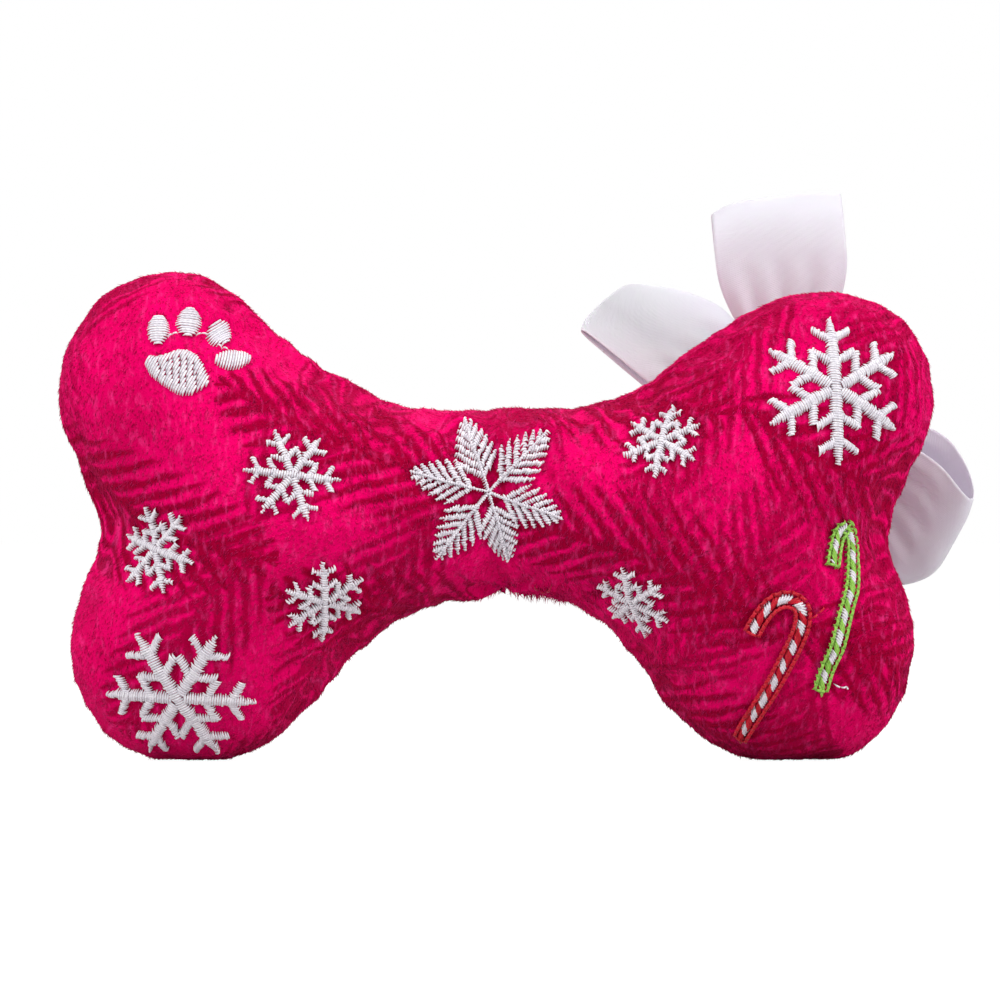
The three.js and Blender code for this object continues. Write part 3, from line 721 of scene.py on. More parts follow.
@dataclass
class Template:
    """A small shape that is repeated many times: its corners, and its faces as rows of corner numbers."""

    corners: np.ndarray
    faces: list[list[int]]

    @classmethod
    def of(cls, shape: bmesh.types.BMesh) -> "Template":
        """Reads a bmesh and frees it.

        Args:
            shape: the bmesh.

        Returns:
            The template.
        """
        bmesh.ops.remove_doubles(shape, verts=shape.verts, dist=1e-5)
        shape.verts.index_update()
        corners = np.array([vert.co[:] for vert in shape.verts])
        faces = [[vert.index for vert in face.verts] for face in shape.faces]
        shape.free()
        return cls(corners, faces)

    def repeated(self, name: str, places: np.ndarray) -> bpy.types.Mesh:
        """One mesh of many copies.

        Args:
            name: the mesh's name.
            places: for each copy, where each corner of the template goes.

        Returns:
            The mesh, with smooth faces.
        """
        copies, count, _ = places.shape
        starts = np.arange(copies) * count
        loops = np.concatenate([np.array(face) for face in self.faces])
        sizes = np.array([len(face) for face in self.faces])
        mesh = bpy.data.meshes.new(name)
        mesh.vertices.add(copies * count)
        mesh.vertices.foreach_set("co", places.astype(np.float32).ravel())
        mesh.loops.add(copies * len(loops))
        corners = starts[:, None] + loops[None, :]
        mesh.loops.foreach_set("vertex_index", corners.astype(np.int32).ravel())
        mesh.polygons.add(copies * len(sizes))
        all_sizes = np.tile(sizes, copies)
        mesh.polygons.foreach_set("loop_start", (np.cumsum(all_sizes) - all_sizes).astype(np.int32))
        mesh.polygons.foreach_set("use_smooth", np.ones(copies * len(sizes), bool))
        mesh.update(calc_edges=True)
        mesh.validate()
        return mesh


def thread_template() -> Template:
    """A closed six-sided tube one unit long, with three rings between its ends.

    Returns:
        The tube.
    """
    shape = bmesh.new()
    bmesh.ops.create_cone(shape, cap_ends=True, segments=6, radius1=1.0, radius2=1.0, depth=1.0)
    for height in (-0.32, 0.0, 0.32):
        slice_through(shape, (0, 0, height), (0, 0, 1))
    return Template.of(shape)


def lock_template() -> Template:
    """A closed three-sided spike one unit long, for a lock of pile.

    Returns:
        The spike.
    """
    shape = bmesh.new()
    bmesh.ops.create_cone(shape, cap_ends=True, segments=3, radius1=1.0, radius2=0.0, depth=1.0)
    bmesh.ops.translate(shape, verts=shape.verts, vec=(0, 0, 0.5))
    return Template.of(shape)


# Where things are


# From the front panel's left edge to the middle of the bone's outline in the photograph.
PANEL_EDGE_TO_MIDDLE = 0.0823634


@dataclass(frozen=True)
class PhotoScale:
    """Places in the seam plane by pixels of the photograph."""

    left: float = 57.0
    right: float = 934.0
    top: float = 270.0
    bottom: float = 762.0
    middle: Pixel = (500, 500)
    distance: float = 1.25
    bone_length: float = 0.165
    bone_height: float = 0.093
    ground_drop: float = 0.0005
    shift: float = field(default_factory=lambda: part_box("front_panel")[0].x + PANEL_EDGE_TO_MIDDLE)
    seam: float = field(
        default_factory=lambda: (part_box("front_panel")[1].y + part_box("back_panel")[0].y) / 2
    )

    def place(self, pixel: Pixel) -> Vector:
        """The place in the seam plane behind a pixel.

        Args:
            pixel: the pixel, from the picture's upper left.

        Returns:
            The place.
        """
        across = (pixel[0] - (self.left + self.right) / 2) / (self.right - self.left)
        up = (self.bottom - pixel[1]) / (self.bottom - self.top)
        return Vector(
            (self.bone_length * across + self.shift, self.seam, self.bone_height * up - self.ground_drop)
        )

    def eye(self) -> Vector:
        """Where the camera stands, level with the picture's middle."""
        return self.place(self.middle) - Vector((0, self.distance, 0))


PHOTO = PhotoScale()


class Skin:
    """The plush surface that the embroidery is laid out on."""

    def __init__(self, shape: bmesh.types.BMesh) -> None:
        """Keeps a search tree of the closed surface."""
        self.tree = BVHTree.FromBMesh(shape)

    def front(self, pixel: Pixel) -> tuple[Vector, Vector]:
        """The surface point that a pixel shows, with its outward direction.

        Args:
            pixel: the pixel.

        Returns:
            The point and its direction.
        """
        place, eye = PHOTO.place(pixel), PHOTO.eye()
        hit, normal, _, _ = self.tree.ray_cast(eye, place - eye)
        if hit is None:
            hit, normal, _, _ = self.tree.find_nearest(place)
        return hit, normal

    def walked(self, start: tuple[Vector, Vector], across: float, up: float) -> tuple[Vector, Vector]:
        """The point that lies across and up from a start, both measured along the surface.

        Args:
            start: a surface point and its outward direction.
            across: how far to the right, in metres.
            up: how far up, in metres.

        Returns:
            The surface point and its outward direction.
        """
        point, normal = start
        steps = max(1, math.ceil(math.hypot(across, up) / (2 * MM)))
        for _ in range(steps):
            level = Vector((-normal.y, normal.x, 0)).normalized()
            rising = normal.cross(level)
            ahead = point + level * (across / steps) + rising * (up / steps)
            point, normal, _, _ = self.tree.find_nearest(ahead)
        return point, normal


@dataclass
class Thread:
    """Stitches of one colour, each bent over the cloth from one needle hole to the next."""

    rows: list[tuple] = field(default_factory=list)

    def stitch(
        self, start: tuple[Vector, Vector], middle: tuple[Vector, Vector], end: tuple[Vector, Vector],
        width: float, crown: float, shade: float, flatness: float = 0.7,
    ) -> None:
        """Adds a stitch.

        Args:
            start: the surface point and outward direction where it comes up.
            middle: the same half way.
            end: the same where it goes down.
            width: the thread's width.
            crown: how far its middle stands off the cloth.
            shade: from 0, light, to 1, dark.
            flatness: its height as a share of its width.
        """
        self.rows.append((start, middle, end, width, crown, shade, flatness))

    def marks(self) -> list[Vector]:
        """Points along all the stitches."""
        return [point for row in self.rows for point, _ in row[:3]]

    def build(self, name: str, material: bpy.types.Material) -> bpy.types.Object:
        """Makes all the stitches one mesh.

        Args:
            name: the piece's name.
            material: the thread's material.

        Returns:
            The new object.
        """
        template = THREAD_TEMPLATE
        points = np.array([[p[:] for p, _ in row[:3]] for row in self.rows])
        normals = np.array([[n[:] for _, n in row[:3]] for row in self.rows])
        width, crown, shade, flatness = (
            np.array([row[k] for row in self.rows])[:, None] for k in (3, 4, 5, 6)
        )
        t = template.corners[:, 2][None, :] + 0.5
        cosine, sine = template.corners[:, 0][None, :], template.corners[:, 1][None, :]
        shares = np.stack([(1 - t) * (1 - 2 * t), 4 * t * (1 - t), t * (2 * t - 1)])
        slopes = np.stack([4 * t - 3, 4 - 8 * t, 4 * t - 1])
        path = sum(points[:, k, None, :] * shares[k][..., None] for k in range(3))
        along = sum(points[:, k, None, :] * slopes[k][..., None] for k in range(3))
        up = sum(normals[:, k, None, :] * shares[k][..., None] for k in range(3))
        along = unit(along)
        side = unit(np.cross(along, up))
        up = np.cross(side, along)
        arch = 1 - (2 * t - 1) ** 4
        lift = (crown + SINK) * arch - SINK
        taper = 0.4 + 0.6 * arch
        radius = width / 2 * taper
        places = (
            path + up * (lift + sine * radius * flatness)[..., None] + side * (cosine * radius)[..., None]
        )
        mesh = template.repeated(name, places)
        length = np.linalg.norm(points[:, 2] - points[:, 0], axis=1)[:, None]
        grid = places.shape[:2]
        run = np.stack([t * length, np.broadcast_to(cosine, grid), np.broadcast_to(sine, grid)])
        set_attribute(mesh, THREAD_COORDINATE, "FLOAT_VECTOR", np.moveaxis(run, 0, 2).reshape(-1, 3))
        set_attribute(mesh, SHADE, "FLOAT", np.broadcast_to(shade, grid).reshape(-1))
        return new_object(name, mesh, material)

    def build_loose(self, name: str, material: bpy.types.Material, slot: str) -> None:
        """Builds threads that stand for no node of their own.

        Args:
            name: the piece's name.
            material: the thread's material.
            slot: not used.
        """
        piece = self.build(name, material)
        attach(piece, "bone")
        LOG.info("%s: %d stitches", name, len(self.rows))


SINK = 0.35 * MM
THREAD_TEMPLATE = thread_template()
LOCK_TEMPLATE = lock_template()


# Embroidery


@dataclass
class Motif:
    """A patch of embroidery, laid out flat round its centre and worked on the curved skin."""

    name: str
    centre: Pixel
    skin: Skin
    seed: int
    thread: Thread = field(default_factory=Thread)
    spacing: float = 0.47 * MM
    crown: float = 0.5 * MM

    def __post_init__(self) -> None:
        """Finds the centre on the skin and starts the motif's own luck."""
        self.start = self.skin.front(self.centre)
        self.luck = np.random.default_rng(self.seed)

    def on_skin(self, place: Vector) -> tuple[Vector, Vector]:
        """The skin's point at a flat place."""
        return self.skin.walked(self.start, place.x, place.y)

    def lay(self, first: Vector, last: Vector, width: float, lift: float = 0.0) -> None:
        """Lays one thread between two flat places.

        Args:
            first: where it starts.
            last: where it ends.
            width: its width.
            lift: how far it stands over the ones under it.
        """
        self.thread.stitch(
            self.on_skin(first), self.on_skin((first + last) / 2), self.on_skin(last),
            width, self.crown * (0.75 + 0.3 * self.luck.random()) + lift, self.luck.random(),
        )

    def satin(
        self, route: Sequence[Vector], width_at: Callable[[float], float], slant: float = 0.0,
        lift: float = 0.0, ragged: float = 0.12 * MM,
    ) -> None:
        """Fills a bar with satin stitch.

        Args:
            route: the bar's middle, as two or more flat places.
            width_at: the bar's width at each share of its length.
            slant: how far the threads lean from square across, in degrees.
            lift: how far this bar stands over the ones under it.
            ragged: how far the thread ends stray.
        """
        lengths = [0.0]
        for first, last in zip(route, route[1:]):
            lengths.append(lengths[-1] + (last - first).length)
        count = max(2, round(lengths[-1] / self.spacing))
        for i in range(count):
            run = lengths[-1] * (i + 0.5) / count
            k = min(max(int(np.searchsorted(lengths, run)) - 1, 0), len(route) - 2)
            direction = (route[k + 1] - route[k]).normalized()
            middle = route[k] + direction * (run - lengths[k])
            square = Vector((-direction.y, direction.x))
            across = Matrix.Rotation(math.radians(slant), 2) @ square
            half = width_at(run / lengths[-1]) / 2
            stray = self.luck.normal(0, ragged, 2)
            step = direction * (self.spacing * 0.22)
            self.lay(
                middle - across * (half + stray[0]) - step, middle + across * (half + stray[1]) + step,
                self.spacing * 1.02, lift,
            )

    def trail(self, pixels: Sequence[Pixel], width: float, crown: float, shade: float) -> None:
        """Lays one round thread over the cloth from pixel to pixel.

        Args:
            pixels: its route in the photograph.
            width: its width.
            crown: how far it stands off the cloth.
            shade: from 0, light, to 1, dark.
        """
        for first, last in zip(pixels, pixels[1:]):
            start, end = (self.skin.front(pixel) for pixel in (first, last))
            middle = self.skin.front([(a + b) / 2 for a, b in zip(first, last)])
            self.thread.stitch(start, middle, end, width, crown, shade, 1.0)

    def finish(self, material: bpy.types.Material, slot: str, node: str) -> None:
        """Builds the motif's thread in place of its CAD node.

        Args:
            material: the thread's material.
            slot: not used.
            node: the node that it replaces.
        """
        piece = self.thread.build(f"{self.name}_stitches", material)
        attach(piece, "bone")
        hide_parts(node)
        LOG.info("%s: %d stitches", piece.name, len(self.thread.rows))


def polar(radius: float, angle: float) -> Vector:
    """A flat place at a radius and an angle in degrees."""
    return Vector((math.cos(math.radians(angle)), math.sin(math.radians(angle)))) * radius


def pointed(width: float, tip_share: float) -> Callable[[float], float]:
    """A bar's width that runs out to a point at its far end."""
    return lambda share: width * min(1.0, 0.25 + 0.75 * (1 - share) / tip_share)


def pointed_both(width: float, tip_share: float) -> Callable[[float], float]:
    """A bar's width that runs out to a point at both ends."""
    return lambda share: width * min(1.0, 0.25 + 0.75 * min(share, 1 - share) / tip_share)


# Where each twig leaves its arm, its length and its thinning, as shares, and its threads' slant.
TWIG_SHARES = ((0.34, 0.33, 0.0, 18), (0.67, 0.31, 0.12, 22))


@dataclass
class Snowflake(Motif):
    """A six-armed flake: one bar right through, four arms that butt on it, twigs and an inner ring."""

    radius: float = 8 * MM
    bar_width: float = 1.5 * MM
    angles: Sequence[float] = (90, 30, 150)

    def work(self) -> None:
        """Lays out all the stitches."""
        twig = self.bar_width * 0.76
        headings = [angle + half for angle in self.angles for half in (0, 180)]
        for heading in headings:
            for turn in (-60, 60):
                for at_share, length_share, thinning, slant in TWIG_SHARES:
                    fork = polar(self.radius * at_share, heading)
                    self.satin(
                        [fork, fork + polar(self.radius * length_share, heading + turn)],
                        lambda share: twig * (1.0 - thinning * share), slant=math.copysign(slant, turn),
                    )
        for heading in headings[2:]:
            self.satin(
                [polar(self.bar_width * 0.45, heading), polar(self.radius, heading)],
                pointed(self.bar_width, 0.25), lift=0.1 * MM,
            )
        through = self.angles[0]
        self.satin(
            [polar(-self.radius, through), polar(self.radius, through)],
            pointed_both(self.bar_width * 1.04, 0.14), lift=0.2 * MM,
        )


# Where each barb leaves its stem and how long it is, as shares of the star, and its angle in degrees.
BARB_SHARES = (
    (0.22, 0.38, 46), (0.34, 0.36, 45), (0.46, 0.32, 43), (0.58, 0.27, 41), (0.70, 0.21, 38),
    (0.82, 0.14, 33),
)


@dataclass
class FrondStar(Motif):
    """A star of six feathered fronds: a corded stem with slanting barbs on both sides."""

    radius: float = 16.4 * MM
    arms: Sequence[tuple[float, float]] = (
        (108, 0.90), (45, 1.0), (-19, 0.93), (-72.5, 0.83), (-129, 0.98), (165.5, 0.95)
    )
    barb: float = 1.22 * MM

    def on_skin(self, place: Vector) -> tuple[Vector, Vector]:
        """The skin's point seen at a flat place, so that no arm looks short at the edges."""
        pixel = PHOTO.bone_length / (PHOTO.right - PHOTO.left)
        return self.skin.front((self.centre[0] + place.x / pixel, self.centre[1] - place.y / pixel))

    def work(self) -> None:
        """Lays out all the stitches."""
        for heading, reach_share in self.arms:
            radius = self.radius * reach_share
            for turn in (-1, 1):
                for at_share, length_share, fan in BARB_SHARES:
                    fork = polar(radius * at_share, heading)
                    tip = fork + polar(radius * length_share, heading + turn * fan)
                    self.satin([fork, tip], pointed(self.barb, 0.3), slant=turn * 22, ragged=0.13 * MM)
            self.satin(
                [polar(0.2 * MM, heading), polar(radius * 0.98, heading)],
                lambda share: 0.95 * MM, slant=52, lift=0.28 * MM, ragged=0.05 * MM,
            )


@dataclass
class FilledPatch(Motif):
    """A closed patch filled with long slanting threads."""

    outline: Sequence[Vector] = ()
    thread_angle: float = 60.0
    longest: float = 20 * MM
    overlap: float = 0.22 * MM

    def work(self) -> None:
        """Lays the threads side by side from edge to edge, parted where one would be too long."""
        direction = polar(1.0, self.thread_angle)
        square = Vector((-direction.y, direction.x))
        reach = [corner.dot(square) for corner in self.outline]
        count = int((max(reach) - min(reach)) / self.spacing)
        for i in range(count):
            offset = min(reach) + (i + 0.5) * self.spacing
            cuts = self._cuts(offset, direction, square)
            if len(cuts) < 2:
                continue
            low, high = cuts[0], cuts[-1]
            pieces = max(1, round((high - low) / self.longest))
            slip = (i % 3 - 1) * 0.3 if pieces > 1 else 0.0
            slips = [0.0] + [slip] * (pieces - 1) + [0.0]
            stops = [low + (high - low) * (k + slips[k]) / pieces for k in range(pieces + 1)]
            for k, (first, last) in enumerate(zip(stops, stops[1:])):
                stray = self.luck.normal(0, 0.08 * MM, 2)
                before = self.overlap if k > 0 else 0.0
                after = self.overlap if k < pieces - 1 else 0.0
                self.lay(
                    square * offset + direction * (first + stray[0] - before),
                    square * (offset + 0.1 * MM) + direction * (last + stray[1] + after),
                    self.spacing * 0.98,
                )

    def _cuts(self, offset: float, direction: Vector, square: Vector) -> list[float]:
        """Where a line across the patch meets its outline.

        Args:
            offset: how far the line lies from the origin.
            direction: the line's direction.
            square: the direction square to it.

        Returns:
            The places along the line, in order.
        """
        cuts = []
        for first, last in zip(self.outline, list(self.outline[1:]) + [self.outline[0]]):
            low, high = first.dot(square) - offset, last.dot(square) - offset
            if (low < 0) != (high < 0):
                share = low / (low - high)
                cuts.append((first + (last - first) * share).dot(direction))
        return sorted(cuts)


def oval(width: float, height: float, tilt: float, steps: int = 28) -> list[Vector]:
    """A tilted oval outline.

    Args:
        width: its width.
        height: its height.
        tilt: its turn in degrees.
        steps: how many corners it has.

    Returns:
        Its corners, as flat places.
    """
    turn = Matrix.Rotation(math.radians(tilt), 2)
    return [
        turn @ Vector((width / 2 * math.cos(a), height / 2 * math.sin(a)))
        for a in np.linspace(0, 2 * math.pi, steps, endpoint=False)
    ]


def flat_route(pixels: Sequence[Pixel], centre: Pixel) -> list[Vector]:
    """Pixels as flat places round a centre.

    Args:
        pixels: the pixels.
        centre: the pixel that is the flat origin.

    Returns:
        The flat places.
    """
    middle = PHOTO.place(centre)
    places = [PHOTO.place(pixel) - middle for pixel in pixels]
    return [Vector((place.x, place.z)) for place in places]


def smooth_route(route: Sequence[Vector], step: float) -> list[Vector]:
    """A route rounded and cut into even steps.

    Args:
        route: the flat places that it passes.
        step: the length of a step.

    Returns:
        The places of the even route.
    """
    fine: list[Vector] = []
    for i in range(len(route) - 1):
        before, after = route[max(i - 1, 0)], route[min(i + 2, len(route) - 1)]
        first, last = route[i], route[i + 1]
        square = 2 * before - 5 * first + 4 * last - after
        cube = 3 * first - before - 3 * last + after
        for t in np.linspace(0, 1, 8, endpoint=False):
            fine.append(0.5 * (2 * first + (last - before) * t + square * t * t + cube * t * t * t))
    fine.append(route[-1])
    lengths = np.cumsum([0.0] + [(b - a).length for a, b in zip(fine, fine[1:])])
    stops = np.linspace(0, lengths[-1], max(3, round(lengths[-1] / step) + 1))
    across, up = ([place[k] for place in fine] for k in (0, 1))
    return [Vector((np.interp(s, lengths, across), np.interp(s, lengths, up))) for s in stops]


@dataclass
class CandyCane(Motif):
    """A striped cane: scalloped edges, white filling and stripes. Its two steps are in millimetres."""

    route: Sequence[Vector] = ()
    width: float = 3.0 * MM
    stripe_pitch: float = 3.9 * MM
    edge_thread: float = 0.6 * MM
    stitch_step: float = 0.5
    edge_step: float = 1.25
    striped_share: float = 0.42
    coloured: Thread = field(default_factory=Thread)

    def work(self) -> None:
        """Lays the white filling, then the stripes and the two edges."""
        even = smooth_route(self.route, self.stitch_step * MM)
        white, colour = self.thread, self.coloured
        inner = self.width * 0.28
        for i, (middle, ahead) in enumerate(zip(even, even[1:])):
            direction = (ahead - middle).normalized()
            square = Vector((-direction.y, direction.x))
            run = i * self.stitch_step * MM
            striped = (run % self.stripe_pitch) / self.stripe_pitch < self.striped_share
            self.thread = colour if striped else white
            lean = direction * (self.width * (0.45 if striped else 0.2))
            self.lay(middle - square * inner - lean, middle + square * inner + lean, 0.5 * MM)
        self.thread = colour
        links = smooth_route(self.route, self.edge_step * MM)
        edge = self.width * 0.41
        for side in (-1, 1):
            for first, last in zip(links, links[1:]):
                direction = (last - first).normalized()
                square = Vector((-direction.y, direction.x)) * side
                for bow in (-0.24, 0.24):
                    self.lay(
                        first + square * (edge - bow * MM) - direction * (0.25 * MM),
                        last + square * (edge + bow * MM) + direction * (0.25 * MM),
                        self.edge_thread, 0.14 * MM,
                    )
        first, last = links[0], links[-1]
        for end, way in ((first, first - links[1]), (last, last - links[-2])):
            square = Vector((-way.y, way.x)).normalized() * (self.width * 0.42)
            self.lay(end - square, end + square, 0.6 * MM, 0.12 * MM)
        self.thread = white


class Flake(Enum):
    """The seven snowflakes: node, centre, radius and bar width in millimetres, and bar angles."""

    RIGHT_LOBE = ("snowflake_right_lobe", (836, 388), 14.6, 2.5, (90, 28.5, 147.5))
    LEFT_LOBE = ("snowflake_left_lobe", (178, 698), 14.6, 2.5, (120, -3, 58))
    SHAFT_LEFT = ("snowflake_shaft_left", (292, 475), 9.2, 1.6, (-7, 50, 108))
    NOTCH_LEFT = ("snowflake_notch_left", (156, 549), 8.6, 1.6, (162, 48, 106))
    LOWER_LEFT = ("snowflake_lower_left", (325, 602), 8.3, 1.6, (98, 37, 163))
    SHAFT_RIGHT = ("snowflake_shaft_right", (662, 441), 7.9, 1.5, (86, 26, 150))
    LOWER_RIGHT = ("snowflake_lower_right", (632, 603), 7.8, 1.5, (88, 28, 148))


PAD_PIXELS = (
    (144, 362), (149, 355), (163, 355), (172, 350), (180, 347), (189, 348), (197, 353), (203, 362),
    (209, 376), (209, 384), (203, 390), (192, 396), (182, 397), (171, 392), (160, 384), (150, 376),
    (145, 369),
)
JUMPS = (
    ((168, 338), (172, 335), (178, 334)),
    ((196, 336), (201, 334), (208, 336)),
    ((217, 346), (222, 349), (228, 351)),
)
# Each toe's node, middle, width and height in millimetres, tilt and thread angle.
TOES = (
    ("paw_toe_1", (158, 330), 4.5, 6.4, 4, 0),
    ("paw_toe_2", (189, 323), 5.0, 6.1, -12, -8),
    ("paw_toe_3", (220, 335), 4.9, 6.8, -42, 28),
    ("paw_toe_4", (233, 359), 7.6, 4.5, 14, 66),
)
RED_CANE = (
    (737, 750), (763, 709), (776, 686), (786, 665), (796, 642), (802, 622), (800, 606), (787, 599),
    (773, 603), (761, 616), (752, 633),
)
GREEN_CANE = (
    (818, 691), (823, 668), (830, 649), (835, 626), (840, 607), (846, 588), (852, 565), (857, 541),
    (851, 526), (841, 532), (833, 546), (827, 565),
)
# Each loose end's name, finish, slot, lift in millimetres and route.
LOOSE_ENDS = (
    ("loose_end_red", RED_THREAD, "red_thread", 0.9, ((806, 627), (811, 618), (817, 613), (824, 606))),
    (
        "loose_end_white", WHITE_THREAD, "white_thread", 0.7,
        ((834, 683), (840, 686), (846, 685), (847, 688)),
    ),
    ("loose_end_waist", PINK_THREAD, "red_thread", 1.1, ((536, 583), (541, 588), (547, 589), (552, 584))),
)


@dataclass
class Embroidery:
    """All the raised stitching on the front panel."""

    skin: Skin
    marks: list[Vector] = field(default_factory=list)

    def build(self) -> None:
        """Works every motif and keeps where its stitches lie."""
        white = WHITE_THREAD.material("white_embroidery_thread")
        for seed, flake in enumerate(Flake):
            node, centre, radius, width, angles = flake.value
            motif = Snowflake(
                node, centre, self.skin, seed, radius=radius * MM, bar_width=width * MM, angles=angles
            )
            self._finish(motif, white, "white_thread", node)
        star = FrondStar("frond_star", (488, 492.5), self.skin, 21)
        self._finish(star, white, "white_thread", "frond_star")
        self._paw(white)
        self._cane("candy_cane_red", RED_CANE, 3.4, 0.18, RED_THREAD, "red_thread", 41)
        self._cane("candy_cane_green", GREEN_CANE, 3.1, 0.15, GREEN_THREAD, "green_thread", 43)
        self._loose_ends()

    def _finish(self, motif: Motif, material: bpy.types.Material, slot: str, node: str) -> None:
        """Works a motif and builds it in place of its node.

        Args:
            motif: the motif.
            material: its thread's material.
            slot: passed on, but not used.
            node: its node.
        """
        motif.work()
        motif.finish(material, slot, node)
        self.marks.extend(motif.thread.marks())

    def _paw(self, white: bpy.types.Material) -> None:
        """The pad, its four toes and the threads that jump between them.

        Args:
            white: the white thread's material.
        """
        centre = (180, 373)
        pad = FilledPatch(
            "paw_pad", centre, self.skin, 31, outline=flat_route(PAD_PIXELS, centre), thread_angle=62,
            longest=3.1 * MM, spacing=0.5 * MM,
        )
        self._finish(pad, white, "white_thread", "paw_pad")
        for seed, (node, middle, width, height, tilt, angle) in enumerate(TOES):
            toe = FilledPatch(
                node, middle, self.skin, 32 + seed, outline=oval(width * MM, height * MM, tilt),
                thread_angle=angle, spacing=0.5 * MM,
            )
            self._finish(toe, white, "white_thread", node)
        jumps = Motif("paw_jump_threads", centre, self.skin, 37)
        for route in JUMPS:
            jumps.trail(route, 0.34 * MM, 0.5 * MM, 0.2)
        jumps.thread.build_loose("paw_jump_threads", white, "white_thread")

    def _cane(
        self, node: str, pixels: Sequence[Pixel], width: float, edge_share: float, finish: ThreadFinish,
        slot: str, seed: int,
    ) -> None:
        """One striped cane: its coloured thread stands for the node, and its white filling goes with it.

        Args:
            node: the CAD node that it replaces.
            pixels: its middle line in the photograph.
            width: its width in millimetres.
            edge_share: how thick the edges' thread is, as a share of that width.
            finish: the coloured thread's finish.
            slot: passed on, but not used.
            seed: the start of its own luck.
        """
        centre = pixels[len(pixels) // 2]
        cane = CandyCane(
            node, centre, self.skin, seed, route=flat_route(pixels, centre), width=width * MM,
            edge_thread=width * MM * edge_share,
        )
        cane.work()
        self.marks.extend(cane.thread.marks() + cane.coloured.marks())
        white = WHITE_THREAD.material(f"{node}_white")
        cane.thread.build_loose(f"{node}_filling", white, "white_thread")
        cane.thread = cane.coloured
        cane.finish(finish.material(f"{node}_thread"), slot, node)

    def _loose_ends(self) -> None:
        """The few thread ends that stand off the cloth."""
        for name, finish, slot, lift, pixels in LOOSE_ENDS:
            motif = Motif(name, pixels[0], self.skin, 51)
            motif.trail(pixels, 0.36 * MM, lift * MM, 0.3)
            motif.thread.build_loose(name, finish.material(name), slot)


# The stuffed bone


# The settings of the skin as cloth, which is blown up at ten times its size.
STUFFED_CLOTH = {
    "quality": 6,
    "mass": 0.02,
    "tension_stiffness": 12.0,
    "compression_stiffness": 12.0,
    "shear_stiffness": 6.0,
    "bending_stiffness": 0.15,
    "use_pressure": True,
    "uniform_pressure_force": 5.0,
    "vertex_group_shrink": "seam",
    "shrink_min": -0.03,
    "shrink_max": 0.10,
}


